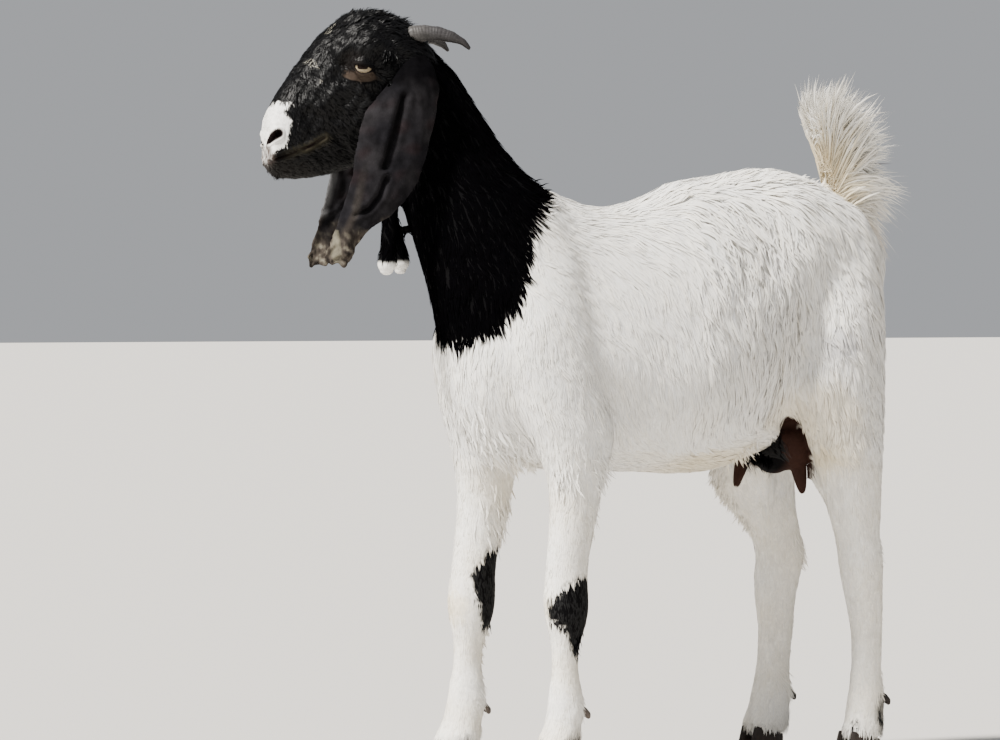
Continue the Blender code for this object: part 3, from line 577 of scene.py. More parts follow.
def blackShare(q):
    edge = np.interp(q[:, 2], *neckEdge) + 0.0035 * ripple(q, 0.018, 3)
    shares = [smoothStep(edge - q[:, 0], -0.0012, 0.0012) * (q[:, 2] > neckEdge[0][0]),
              kneeMark(q, -1, kneeLeft, 0.078, 0.066), kneeMark(q, 1, kneeRight, 0.078, 0.092)]
    ragged = 1 + 0.4 * ripple(q, 0.008, 5)
    shares += [blob(q, centre, radii) * ragged for centre, radii in footSpots]
    shares.append(1.3 * blob(q, (392, -8, 392), (21, 40, 32)) * (np.abs(q[:, 1]) < 0.040))
    return clipped(np.maximum.reduce(shares))


def coatMarks(p):
    # The colour of the coat, or of the bare skin, at each place, with painted shade round and inside each
    # nostril and in the hollow in front of each eye.
    q, h = toBody(p), toHead(p)
    f = folded(h)
    x, _, z = h.T
    onHead = (x < -0.15) & (z > 0.60)
    nearEye = onHead & (f[:, 1] > 0.02)
    cream = sum(share * blob(q, centre, radii) for share, centre, radii in creamSpots)
    cream = cream + (0.16 + 0.14 * ripple(q, 0.060, 9)) * (q[:, 2] < 0.40) + 0.05 * ripple(q, 0.040, 8)
    udder = smoothStep(0.0060 - udderDistance(q), -0.002, 0.002) * (q[:, 2] < udderPlan["top"])
    udder = np.maximum(udder, blob(q, *udderPlan["groin"]))
    muzzle = np.minimum(np.interp(z, *muzzleEdge) - x, 0.831 - z) + 0.0022 * ripple(h, 0.010, 4)
    chin = clipped(1.3 * onHead * blob(f, (-338, 10, 765.5), (14, 17, 13)))
    toMouth, mouthAlong = lineDistance(f, mouthLine)
    toNostril, nostrilAlong = nostrilDistance(f)
    toNostril = toNostril / nostrilHalf(nostrilAlong)
    onNose = onHead * (x < -0.30)
    colour = np.tile(np.array(marksPlan["white"]), (len(p), 1))
    for tone, share in (
            ("cream", clipped(cream)),
            ("dock", smoothStep(q[:, 2], 0.748, 0.762) * (q[:, 0] > 0.45)),
            ("smudge", 0.55 * blob(q, (434, -112, 542), (26, 30, 20))),
            ("udder", clipped(udder * 1.4)),
            ("black", blackShare(q)),
            ("black", onHead.astype(float)),
            ("white", smoothStep(0.0125 - bulbDistance(h), -0.001, 0.001)),
            ("muzzle", smoothStep(muzzle, -0.0012, 0.0012) * (z > 0.7535) * onHead),
            ("chin", chin * clipped(0.8 + 0.35 * ripple(h, 0.004, 16))),
            ("lip", 0.7 * smoothStep(0.7600 - z, -0.003, 0.006)
             * smoothStep(-0.282 - x, -0.012, 0.012) * onHead),
            ("lipTan", 0.85 * clipped(1.5 - toMouth / 0.0062) * smoothStep(mouthAlong, 0.35, 0.80) * onHead),
            ("mouth", clipped(1.7 - toMouth / 0.0016) * onHead),
            # painted shade in the groove round the nostril
            ("nostrilShade", 0.5 * clipped(2.2 - toNostril) * onNose),
            # painted shade inside the nostril's slit
            ("nostril", clipped(3.2 - 2 * toNostril) * onNose),
            ("lidBrown", 0.95 * nearEye * lidBag(h)),
            # painted shade in the hollow in front of the eye
            ("eyeHollowShade", 0.9 * nearEye * blob(f, (-237, 50, 881), (12, 20, 11))),
            ("lidRim", clipped(1 - np.abs(insideLids(h)) / 0.0016) * nearEye)):
        colour = blend(colour, marksPlan[tone], share)
    return colour


def flecked(p):
    # 1 where white hairs stand over the bridge of the nose.
    return np.maximum.reduce([blob(toHead(p), centre, radii) for centre, radii in fleckSpots])


# The lie of the coat: place in mm, way in hundredths, then length, lift, curl and reach in mm

lieGuides = [
    # bridge, forehead and crown
    (-330, 0, 818, -50, 0, -86, 4, 0.8, 0.1, 16),
    (-300, 0, 856, -62, 0, -78, 6, 1.2, 0.4, 18),
    (-270, 0, 896, -60, 0, -80, 7, 1.5, 0.6, 18),
    (-248, 0, 924, -30, 30, -60, 8, 2.2, 0.9, 12),
    (-226, 0, 944, 70, 20, 60, 11, 3.5, 1.2, 14),
    (-195, 0, 950, 95, 20, 25, 15, 4.5, 1.4, 20),
    (-160, 0, 938, 90, 10, -40, 15, 4, 1.2, 20),
    (-130, 0, 915, 80, 0, -60, 14, 3, 0.8, 20),
    # side of the face
    (-333, 24, 800, -20, 10, -95, 3, 0.5, 0, 12),
    (-332, 20, 765, 30, 10, -95, 3, 0.5, 0, 12),
    (-310, 30, 800, 30, 10, -95, 5, 0.7, 0.2, 16),
    (-285, 34, 835, 10, 20, -98, 6, 1, 0.4, 18),
    (-262, 40, 862, 10, 20, -98, 6, 1, 0.4, 16),
    (-280, 32, 790, 70, 10, -70, 6, 0.9, 0.2, 18),
    (-245, 45, 825, 75, 0, -65, 7, 1.2, 0.3, 22),
    (-210, 53, 805, 85, 0, -50, 8, 1.5, 0.3, 24),
    (-226, 56, 850, 80, 0, -55, 5, 0.8, 0.1, 12),
    (-216, 56, 902, 75, 10, 60, 7, 1.6, 0.4, 14),
    (-240, 45, 895, 20, 30, 80, 6, 1.2, 0.4, 12),
    (-180, 52, 880, 100, 0, -10, 8, 1.8, 0.3, 18),
    (-170, 50, 830, 85, 0, -50, 9, 2, 0.3, 22),
    (-320, 10, 742, 90, 0, -30, 7, 2, 0.4, 14),
    (-270, 12, 740, 97, 0, -5, 8, 1.6, 0.3, 24),
    (-210, 15, 752, 90, 0, -10, 9, 1.8, 0.3, 26),
    # neck
    (-100, 0, 885, 72, 0, -68, 16, 3, 0.6, 34),
    (-52, 0, 815, 55, 10, -82, 18, 3, 0.6, 36),
    (-12, 0, 752, 78, 20, -60, 20, 4, 0.8, 30),
    (-125, 45, 830, 50, 0, -86, 12, 2.4, 0.4, 34),
    (-95, 50, 760, 42, 0, -90, 13, 2.6, 0.4, 36),
    (-70, 60, 690, 42, 0, -90, 14, 2.8, 0.5, 36),
    (-60, 68, 620, 42, 0, -90, 15, 3, 0.5, 34),
    (-100, 55, 570, 12, 0, -99, 15, 3, 0.5, 34),
    (-166, 0, 740, 30, 0, -95, 11, 2.2, 0.3, 30),
    (-152, 0, 660, 15, 0, -98, 13, 2.6, 0.4, 34),
    (-128, 0, 570, 10, 0, -100, 16, 3.2, 0.6, 32),
    # shoulder and chest
    (20, 0, 726, 95, 10, -20, 22, 4, 0.8, 30),
    (40, 55, 690, 80, 0, -60, 18, 3.2, 0.5, 40),
    (0, 82, 620, 50, 0, -86, 17, 3, 0.4, 45),
    (50, 90, 580, 58, 0, -82, 18, 3.2, 0.4, 45),
    (-65, 72, 530, 15, 0, -98, 17, 3.2, 0.5, 40),
    (-100, 20, 490, 5, 0, -100, 20, 3.6, 0.9, 40),
    (-75, 10, 430, 45, 10, -90, 26, 5, 2, 34),
    (-40, 0, 392, 85, 10, -50, 28, 6, 2.4, 34),
    (10, 90, 490, 30, 0, -95, 16, 3, 0.4, 45),
    (70, 85, 430, 50, 0, -86, 22, 4.5, 1, 34),
    # back and barrel
    (120, 0, 704, 100, 10, 0, 26, 4, 1.4, 45),
    (210, 0, 714, 100, 10, 5, 30, 4.6, 2, 45),
    (300, 0, 742, 98, 10, 12, 32, 5, 2.2, 45),
    (390, 0, 756, 100, 10, -5, 28, 4.6, 1.8, 45),
    (460, 0, 744, 90, 10, -40, 24, 4, 1.2, 40),
    (530, 0, 700, 60, 0, -80, 22, 4, 0.8, 35),
    (150, 80, 660, 62, 0, -78, 24, 3.8, 1, 50),
    (250, 90, 680, 35, 0, -94, 29, 6.8, 2.6, 50),
    (330, 90, 700, 5, 0, -100, 30, 7.2, 3, 45),
    (130, 110, 560, 35, 0, -94, 20, 3.4, 0.5, 55),
    (220, 118, 570, 20, 0, -98, 24, 3.8, 1, 55),
    (305, 112, 610, -12, 0, -99, 28, 7, 2.6, 50),
    (350, 100, 560, -10, 0, -99, 27, 7, 2.4, 40),
    (130, 110, 450, 30, 0, -95, 20, 3.4, 0.5, 55),
    (230, 115, 450, 15, 0, -99, 22, 3.6, 0.6, 55),
    (340, 105, 470, -22, 0, -97, 24, 4.2, 1, 40),
    (120, 30, 372, 100, 20, -10, 14, 2.4, 0.5, 55),
    (250, 30, 370, 100, 20, 0, 14, 2.4, 0.5, 55),
    (340, 40, 382, 90, 20, 20, 12, 2.2, 0.4, 40),
    # rump and thigh
    (400, 70, 725, 60, 0, -80, 26, 4.4, 1.6, 40),
    (450, 90, 680, 45, 0, -88, 22, 3.8, 0.9, 45),
    (430, 100, 610, 15, 0, -98, 20, 3.6, 0.6, 45),
    (490, 85, 620, 35, 0, -93, 20, 3.6, 0.5, 45),
    (550, 40, 640, 20, 0, -98, 18, 3.4, 0.5, 40),
    (545, 35, 540, -10, 0, -99, 18, 3.6, 0.5, 45),
    (440, 110, 520, 20, 0, -98, 18, 3.4, 0.5, 50),
    (400, 110, 450, 25, 0, -96, 17, 3.2, 0.5, 45),
    (490, 90, 450, 20, 0, -98, 16, 3, 0.4, 45),
    (430, 45, 460, 10, 0, -99, 18, 3.6, 0.6, 45),
    # legs
    (20, 100, 390, 20, 0, -98, 14, 2.6, 0.4, 45),
    (-20, 75, 330, 2, 0, -100, 10, 1.8, 0.3, 40),
    (40, 75, 330, 25, 0, -97, 16, 3.2, 0.9, 30),
    (5, 78, 250, 5, 0, -100, 9, 1.6, 0.3, 40),
    (5, 78, 180, 8, 0, -100, 9, 1.6, 0.3, 40),
    (5, 78, 120, 5, 0, -100, 8, 1.3, 0.2, 35),
    (20, 78, 80, 25, 0, -97, 11, 2.4, 0.4, 18),
    (-20, 78, 60, -30, 0, -95, 9, 1.6, 0.2, 24),
    (460, 80, 370, 25, 0, -97, 13, 2.4, 0.4, 45),
    (480, 80, 310, 25, 0, -97, 12, 2.2, 0.4, 35),
    (500, 80, 250, 5, 0, -100, 10, 1.9, 0.3, 35),
    (500, 80, 180, 2, 0, -100, 9, 1.6, 0.3, 40),
    (500, 80, 110, 2, 0, -100, 9, 1.6, 0.2, 35),
    (515, 80, 70, 25, 0, -97, 12, 2.6, 0.4, 18),
    (480, 80, 60, -25, 0, -96, 10, 1.8, 0.2, 24),
]


def buildLie():
    rows = []
    for row in lieGuides:
        rows.append(row)
        if row[1] or row[4]:
            rows.append((row[0], -row[1], row[2], row[3], -row[4], *row[5:]))
    rows = np.array(rows, float)
    place, way = rows[:, 0:3] / 1000, unit(rows[:, 3:6] / 100)
    angle = -goatPlan["neckTurn"] * turnShare(place)
    return {"place": turnedBy(place, angle) + shift, "way": turnedBy(way, angle),
            "kind": rows[:, 6:9], "reach": rows[:, 9] / 1000}


lie = buildLie()


def readLie(p):
    # Way, and length, lift and curl in metres, at each point, so many points at a time.
    ways, kinds, batch = [], [], 20000
    for start in range(0, len(p), batch):
        far = np.linalg.norm(p[start:start + batch, None] - lie["place"][None], axis=2)
        weight = np.exp(-(far / lie["reach"]) ** 2) + 1e-6 / (far + 0.01) ** 2
        weight /= weight.sum(1, keepdims=True)
        ways.append(weight @ lie["way"])
        kinds.append(weight @ lie["kind"])
    return unit(np.concatenate(ways)), np.concatenate(kinds) / 1000


# One skin over the whole goat

skinPlan = {"voxel": 0.0070, "swell": 0.0005, "reach": 0.016, "depth": 0.72}
legNames = [f"{end}_{side}" for end in ("front", "hind") for side in ("left", "right")]
fleshNodes = ["head", "neck", "trunk", "udder", "wattle_left", "wattle_right"] \
    + [f"{leg}_{part}" for leg in legNames for part in ("leg", "shank")]
# middles and radii of balls that fill the poll and the ears' roots, and of those along the dock
headFillers = [((-160, 22, 905), 12), ((-156, 36, 880), 13)]
dockFillers = [((520, 0, 690), 20), ((512, 0, 722), 15.5), ((505, 0, 752), 12), ((498, 0, 782), 8.5),
               ((492, 0, 800), 4.5)]


def joinInto(joined, bm):
    holder = meshFrom(bm, "holder")
    joined.from_mesh(holder)
    bpy.data.meshes.remove(holder)


def fusedSkin():
    joined = bmesh.new()
    for name in fleshNodes + ["eye_left", "eye_right"]:
        bm = mergedCopy(name)
        for vertex in bm.verts:
            vertex.co += vertex.normal * skinPlan["swell"]
        joinInto(joined, bm)
    balls = [(fromHead(inMetres((x, side * y, z)))[0], radius)
             for (x, y, z), radius in headFillers for side in (-1, 1)]
    balls += [(inMetres(place) + shift, radius) for place, radius in dockFillers]
    for middle, radius in balls:
        bm = bmesh.new()
        bmesh.ops.create_icosphere(bm, subdivisions=3, radius=radius / 1000,
                                   matrix=Matrix.Translation(Vector(middle)))
        joinInto(joined, bm)
    return newObject("goatSkin", remeshed(joined, "goatSkin", skinPlan["voxel"]))


def regionRounds(p):
    # How often each part of the skin is softened.
    (qx, qy, qz), (x, _, z) = toBody(p).T, toHead(p).T
    udder = (np.abs(qx - 0.415) < 0.05) & (np.abs(qy) < 0.06) & (qz < 0.42) & (qz > 0.33)
    wattles = (x < -0.13) & (z < 0.735) & (z > 0.60) & (qz < 0.72)
    head = (x < -0.13) & (z > 0.73)
    return np.select([wattles, head, udder | (qz < 0.11), qz < 0.40], [1.0, 5.0, 3.0, 7.0], 22.0)


def headRegion(p):
    x, _, z = toHead(p).T
    return ((x < -0.158) & (z > 0.728)) | ((x < -0.142) & (z > 0.606) & (z <= 0.728))


def frontRegion(p):
    x, _, z = toHead(p).T
    return ((x < -0.204) & (z > 0.728)) | ((x < -0.142) & (z > 0.622) & (z <= 0.690))


def faceRegion(p):
    h = toHead(p)
    eye = np.linalg.norm(folded(h) - (eyeSpot + (-0.003, 0.004, 0)), axis=1) < 0.024
    return eye | ((h[:, 0] < -0.292) & (h[:, 2] < 0.806))


def udderRegion(p):
    x, y, z = toBody(p).T
    return (np.abs(x - 0.404) < 0.056) & (np.abs(y) < 0.060) & (z < 0.440) & (z > 0.32)


def teatRegion(p):
    return udderRegion(p) & (toBody(p)[:, 2] < 0.402)


def teatTips(p):
    q = toBody(p)
    far = [np.linalg.norm(q - (start + end) / 2, axis=1) for start, _, end, _ in udderPlan["teats"]]
    return np.minimum(*far) < 0.0180


def refine(mesh, region):
    picked = region(points(mesh))
    bm = bmesh.new()
    bm.from_mesh(mesh)
    bm.verts.ensure_lookup_table()
    edges = [e for e in bm.edges if picked[e.verts[0].index] and picked[e.verts[1].index]]
    bmesh.ops.subdivide_edges(bm, edges=edges, cuts=1, use_grid_fill=True)
    bm.to_mesh(mesh)
    bm.free()
    p = points(mesh)
    setPoints(mesh, softened(p, edgesOf(mesh), np.where(region(p), 4.0, 0.0)))


def onWattles(q, h):
    x, y, z = h.T
    return (x < -0.13) & (z < 0.728) & (z > 0.60) & (np.abs(y) < 0.04) & (q[:, 0] < -0.12)


def coatDepth(p):
    # How far the skin lies under the coat's surface.
    q, h = toBody(p), toHead(p)
    low = q[:, 2]
    depth = readLie(p)[1][:, 1] * skinPlan["depth"]
    depth *= 1 - 0.35 * (low < 0.36) * (1 - smoothStep(low, 0.30, 0.36))
    head = smoothStep(h[:, 2], 0.70, 0.78) * smoothStep(-h[:, 0], 0.10, 0.16)
    depth *= 1 - 0.85 * smoothStep(-h[:, 0], 0.285, 0.315) * head
    depth *= smoothStep(np.linalg.norm(folded(h) - (eyeSpot + (0, 0.006, 0)), axis=1), 0.018, 0.030)
    depth *= 1 - 0.9 * blob(q, (415, 0, 375), (55, 70, 48))
    depth = np.where(onWattles(q, h), -0.0012 - 0.0012 * (bulbDistance(h) < 0.0125), depth)
    foot = 1 - smoothStep(low, 0.060, 0.120)
    return depth * (1 - foot) - (0.0004 + 0.0018 * bell(low - 0.038, 0.016)) * foot


def hugCad(mesh):
    # The softened skin goes back to the CAD surface, without its facets.
    joined = bmesh.new()
    for name in fleshNodes:
        joinInto(joined, mergedCopy(name))
    tree = BVHTree.FromBMesh(joined)
    joined.free()
    p = points(mesh)
    normals = normalsOf(mesh)
    gap = np.zeros(len(p))
    for i, (spot, way) in enumerate(zip(p.tolist(), normals)):
        for sign in (1, -1):
            ahead = Vector(way)
            hit, face, _, far = tree.ray_cast(spot, ahead * sign, skinPlan["reach"])
            if hit and face.dot(ahead) > 0.2:
                gap[i] = far * sign
                break
    q, h = toBody(p), toHead(p)
    keep = np.ones(len(p))
    size = 0.026
    for place in (eyeSpot, (-0.160, 0.026, 0.898)):
        keep *= smoothStep(np.linalg.norm(folded(h) - place, axis=1), size * 0.7, size * 1.2)
    keep *= smoothStep(np.hypot(q[:, 0] - 0.508, q[:, 1]), 0.020, 0.036) + (q[:, 2] < 0.67) > 0.5
    gap = softenedValues(gap, edgesOf(mesh), np.where(h[:, 0] < -0.158, 14.0, 9.0))
    setPoints(mesh, p + normals * (gap * keep)[:, None])


def shapeUdder(mesh):
    # The bag, on the skin's own mesh.
    p = points(mesh)
    edges = edgesOf(mesh)
    share = udderRegion(p) * (1 - smoothStep(toBody(p)[:, 2], 0.394, 0.424))
    for _ in range(10):
        q = toBody(p)
        far = udderDistance(q, False)
        slope = np.stack([udderDistance(q + step, False) - far for step in np.eye(3) * 0.0005], 1)
        p = p - unit(slope) * (np.clip(far, -0.006, 0.006) * share)[:, None]
        p = softened(p, edges, np.where(share > 0, 1.0, 0.0))
    setPoints(mesh, p)


def drawTeats(mesh, share):
    # The teats are drawn down out of the bag.
    q = toBody(points(mesh))
    for start, wide, end, slim in udderPlan["teats"]:
        line = end - start
        long = np.linalg.norm(line)
        along = (q - start) @ (line / long)
        aside = np.linalg.norm(q - start - np.outer(along, line / long), axis=1)
        drawn = (long + slim) * clipped(1 - (aside / wide / 1.12) ** 3)
        near = (along > -0.012) & (aside < wide * 1.12) & (q[:, 2] < 0.402)
        q = q + np.outer(drawn * near * share, line / long)
    p = q + shift
    setPoints(mesh, softened(p, edgesOf(mesh), np.where(udderDistance(q) < 0.004, 1.0, 0.0) * udderRegion(p)))


def sculptEye(h):
    # The lids' edges, their creases and the socket round the eyeball.
    outside = -insideLids(h)
    _, rise, far, out = eyeAngles(h)
    radius = goatPlan["eyeRadius"]
    lid = radius + lidPlan["thick"] + 0.0012 * bell(outside - 0.0028, 0.0020)
    crease = np.where(rise > lidPlan["middle"], 0.0007 * bell(outside - 0.0062, 0.0010),
                      0.0007 * bell(outside - 0.0058, 0.0009) + 0.0006 * bell(outside - 0.0095, 0.0010))
    share = smoothStep(outside, 0.0035, 0.0115)
    wanted = lid * (1 - share) + np.maximum(far, radius + 0.0008) * share - crease
    wanted = np.where(outside < 0, radius - 0.0022, np.maximum(wanted, radius + 0.0008))
    centre = eyeCentres(h)
    moved = centre + (h - centre) * (wanted / np.maximum(far, 1e-6))[:, None]
    return np.where(((far < 0.032) & (out > -0.004))[:, None], moved, h)


def sculptMuzzle(h, normals):
    # Nostrils, mouth line and the groove under the nose, and a nose tip a little further back.
    x, y, z = h.T
    f = folded(h)
    toNostril, along = lineDistance(f, nostrilLine)
    half = nostrilHalf(along)
    toMouth, _ = lineDistance(f, mouthLine)
    push = -0.0090 * (1 - smoothStep(toNostril / half, 0.50, 1.20))
    push += 0.0016 * bell(toNostril - half - 0.0026, 0.0017)
    push -= 0.0030 * bell(toMouth, 0.0011)
    push += 0.0011 * bell(toMouth - 0.0042, 0.0020)
    cleft = smoothStep(z, 0.757, 0.764) * (1 - smoothStep(z, 0.782, 0.790)) * (x < -0.33)
    push -= 0.0016 * bell(y, 0.0016) * cleft
    push = np.where((x < -0.255) & (z > 0.73), push, 0)
    back = 0.0042 * blob(h, (-343, 0, 783), (16, 34, 24))
    return h + normals * push[:, None] + np.outer(back, (1, 0, 0))


# Brow, socket, cheekbone, jaw and the hollows between them: places along each ridge or hollow,
# and its height and half width
faceLines = [
    ([(-254, 40, 886), (-240, 44, 899), (-220, 46, 906), (-200, 49, 903), (-191, 52, 893)], 2.6, 5.2),
    ([(-243, 46, 884), (-226, 50, 892.5), (-208, 52, 890.5)], -1.4, 3.0),
    ([(-246, 46, 878), (-243, 46, 866)], -2.0, 4.5),
    ([(-244, 46, 855), (-268, 40, 832), (-290, 36, 806), (-300, 34, 790)], 1.6, 5.5),
    ([(-236, 50, 838), (-258, 43, 812), (-268, 40, 795)], -1.6, 6.5),
    ([(-205, 55, 835), (-216, 54, 805), (-232, 48, 778)], 2.0, 11.0),
    ([(-312, 26, 823), (-295, 30, 843), (-272, 34, 872), (-258, 36, 893)], -1.2, 5.0),
]


def faceForms(f):
    push = np.zeros(len(f))
    for line, height, half in faceLines:
        far, along = lineDistance(f, inMetres(line))
        fade = np.sqrt(clipped(np.minimum(along, 1 - along) * 5 + 0.35))
        push += height / 1000 * bell(far, half / 1000) * fade
    return push


def sculptHead(mesh):
    p = points(mesh)
    h = toHead(p)
    normals = turnedBy(normalsOf(mesh), goatPlan["neckTurn"])
    on = (h[:, 0] < -0.15) & (h[:, 2] > 0.72)
    ridges = 0.0009 * ripple(h, 0.011, 12) + 0.0005 * ripple(h, 0.005, 13) + faceForms(folded(h))
    h = np.where(on[:, None], sculptEye(sculptMuzzle(h, normals)), h)
    face = on & (h[:, 0] > -0.30) & (insideLids(h) < -0.004)
    h = h + normals * (ridges * face)[:, None]
    least = goatPlan["eyeRadius"] + 0.0010
    _, _, far, out = eyeAngles(h)
    centre = eyeCentres(h)
    low = (insideLids(h) < 0) & (out > 0) & (far < least)
    h = np.where(low[:, None], centre + unit(h - centre) * least, h)
    setPoints(mesh, np.where(on[:, None], fromHead(h), p))


def makeSkin():
    skin = fusedSkin()
    mesh = skin.data
    p = points(mesh)
    setPoints(mesh, softened(p, edgesOf(mesh), regionRounds(p)))
    for region in (headRegion, frontRegion, faceRegion, udderRegion):
        refine(mesh, region)
    hugCad(mesh)
    shapeUdder(mesh)
    refine(mesh, teatRegion)
    shapeUdder(mesh)
    drawTeats(mesh, 0.5)
    refine(mesh, teatTips)
    drawTeats(mesh, 0.55)
    p = points(mesh)
    depth = softenedValues(coatDepth(p), edgesOf(mesh), np.full(len(p), 6.0))
    setPoints(mesh, p - normalsOf(mesh) * depth[:, None])
    sculptHead(mesh)
    outward(mesh, cut=True)
    print("skin made:", len(mesh.polygons), "triangles")
    return skin


def unwrap(skin):
    bpy.context.view_layer.objects.active = skin
    for other in bpy.context.selected_objects:
        other.select_set(False)
    skin.select_set(True)
    skin.data.uv_layers.new(name="OFBake")
    bpy.ops.object.mode_set(mode="EDIT")
    bpy.ops.mesh.select_all(action="SELECT")
    bpy.ops.uv.smart_project(angle_limit=math.radians(70), island_margin=0.002)
    bpy.ops.object.mode_set(mode="OBJECT")
    skin.select_set(False)


skin = makeSkin()
unwrap(skin)
print("skin unwrapped")

skinMesh = skin.data
skinPoints = points(skinMesh)
skinTriangles = corners(skinMesh)
skinNormals = vertexNormals(skinPoints, skinTriangles)
skinTree = BVHTree.FromPolygons(skinPoints.tolist(), skinTriangles.tolist())
# the corners' places on the unwrap, triangle by triangle
triangleUv = readFlat(skinMesh.uv_layers["OFBake"].data, "uv", 2, np.float32)[
    readFlat(skinMesh.loop_triangles, "loops", 3, np.int32)]
setTone(skinMesh, coatMarks(skinPoints))


def snapped(p):
    # The nearest places on the skin, and the way out from it there.
    place, index = np.empty_like(p), np.empty(len(p), int)
    for i, spot in enumerate(p):
        place[i], _, index[i], _ = skinTree.find_nearest(spot)
    t = skinTriangles[index]
    a, b, c = (skinPoints[t[:, i]] for i in range(3))
    full = np.maximum(np.linalg.norm(np.cross(b - a, c - a), axis=1), 1e-12)
    wa = np.linalg.norm(np.cross(b - place, c - place), axis=1) / full
    wb = np.linalg.norm(np.cross(c - place, a - place), axis=1) / full
    weights = (wa, wb, clipped(1 - wa - wb))
    return place, unit(sum(skinNormals[t[:, i]] * weights[i][:, None] for i in range(3)))


# Locks and tufts


def lockMesh(name, centres, sides, ups, widths, thickness, tones, rootUv, seed):
    # Closed three-sided locks that end in a point: arrays of locks by stations.
    count, stations = centres.shape[:2]
    rings = stations - 1
    each = rings * 3 + 1
    thicks = widths * thickness if np.isscalar(thickness) else thickness
    ring = centres[:, :rings, None, :] \
        + sides[:, :rings, None, :] * (widths[:, :rings, None] * np.array([-0.5, 0.5, 0.0]))[..., None] \
        + ups[:, :rings, None, :] * (thicks[:, :rings, None] * np.array([0.0, 0.0, 1.0]))[..., None]
    verts = np.concatenate([ring.reshape(count, rings * 3, 3), centres[:, rings:, :]], 1)
    faces = [(r * 3 + s, r * 3 + 3 + s, r * 3 + 3 + (s + 1) % 3, r * 3 + (s + 1) % 3)
             for r in range(rings - 1) for s in range(3)]
    last = (rings - 1) * 3
    faces += [(last + s, each - 1, last + (s + 1) % 3) for s in range(3)] + [(0, 1, 2)]
    sizes, flat = np.array([len(face) for face in faces]), np.concatenate(faces)
    tip = flat == each - 1
    u = np.where(tip, 0.5, np.array([0.0, 1.0, 0.5])[flat % 3])
    v = np.where(tip, 1.0, (flat // 3) / rings)
    mesh = bpy.data.meshes.new(name)
    mesh.vertices.add(count * each)
    writeFlat(mesh.vertices, "co", verts)
    turns = np.arange(count)[:, None]
    mesh.loops.add(count * len(flat))
    writeFlat(mesh.loops, "vertex_index", flat[None] + turns * each, np.int32)
    mesh.polygons.add(count * len(sizes))
    starts = np.r_[0, np.cumsum(sizes)[:-1]]
    writeFlat(mesh.polygons, "loop_start", starts[None] + turns * len(flat), np.int32)
    mesh.update(calc_edges=True)
    smoothShade(mesh)
    mesh.set_sharp_from_angle(angle=math.radians(80))
    # each tuft is a small patch at its root's place on the unwrap
    patch = rootUv[:, None, :] + np.stack([u - 0.5, v - 0.5], 1)[None] * 0.003
    writeFlat(mesh.uv_layers.new(name="OFBake").data, "uv", clipped(patch))
    offset = np.random.default_rng(seed).uniform(0, 1, (count, 1))
    long = np.linalg.norm(np.diff(centres, axis=1), axis=2).sum(1)[:, None]
    strand = np.stack([offset + u[None] * widths.max(1)[:, None], offset + v[None] * long], 2)
    writeFlat(mesh.uv_layers.new(name="strand").data, "uv", strand)
    tones = clipped(tones)
    if tones.ndim == 2:
        tones = np.repeat(tones[:, None, :], stations, 1)
    setTone(mesh, np.concatenate([np.repeat(tones[:, :rings], 3, 1), tones[:, rings:]], 1))
    along = np.r_[np.repeat(np.arange(rings) / rings, 3), 1.0]
    setAttribute(mesh, "along", "FLOAT", np.repeat(along[None], count, 0), "value")
    made = newObject(name, mesh)
    mesh.calc_loop_triangles()
    print(name, count, "locks,", len(mesh.loop_triangles), "triangles")
    coatPieces.append(made)
    return made


coatPieces = []
triangleCorners = skinPoints[skinTriangles]
triangleMiddles = triangleCorners.mean(1)
triangleAreas = np.linalg.norm(np.cross(triangleCorners[:, 1] - triangleCorners[:, 0],
                                        triangleCorners[:, 2] - triangleCorners[:, 0]), axis=1) / 2
middleKind = readLie(triangleMiddles)[1]
middleBody, middleHead = toBody(triangleMiddles), toHead(triangleMiddles)


def bareShare(q, h):
    # 1 where no coat grows: eyelids, nostrils, mouth, udder, wattle bulbs and dock.
    x, _, z = h.T
    low, f = q[:, 2], folded(h)
    toUdder = udderDistance(q)
    onFace = (x < -0.24) & (z > 0.72)
    toMouth, along = lineDistance(f, mouthLine)
    patch = (blob(q, (390, -6, 392), (20, 36, 28)) > 0.3) & (low >= 0.372)
    return np.maximum.reduce([
        clipped((insideLids(h) + 0.0042) / 0.001) * (x < -0.15) * (z > 0.8),
        (lineDistance(f, nostrilLine)[0] < 0.0088) & onFace,
        (lidBag(h) > 0.4) & (f[:, 1] > 0.02),
        (toMouth < 0.0026 + 0.0030 * smoothStep(along, 0.5, 0.8)) & onFace,
        (toUdder < 0.0060) & (low < udderPlan["top"]) & ~patch,
        (low < 0.386) & (toUdder < 0.003),
        blob(q, *udderPlan["groin"]) > 0.4,
        bulbDistance(h) < 0.0200,
        (np.hypot(q[:, 0] - 0.500, q[:, 1]) < 0.030) & (low > 0.738)])


middleBare = bareShare(middleBody, middleHead)


def sampleRoots(density, seed):
    # Even random roots, density of them to the square metre of each triangle.
    draw = np.random.default_rng(seed)
    total = np.cumsum(density * triangleAreas)
    count = int(total[-1])
    picked = np.searchsorted(total, (np.arange(count) + draw.uniform(0, 1, count)) / count * total[-1])
    picked = np.minimum(picked, len(total) - 1)
    a, b = draw.uniform(0, 1, (2, count))
    flip = a + b > 1
    a, b = np.where(flip, 1 - a, a), np.where(flip, 1 - b, b)
    weights = np.stack([1 - a - b, a, b], 1)
    t = skinTriangles[picked]
    place, out, uv = (np.einsum("nk,nkd->nd", weights, values)
                      for values in (skinPoints[t], skinNormals[t], triangleUv[picked]))
    return place, unit(out), uv


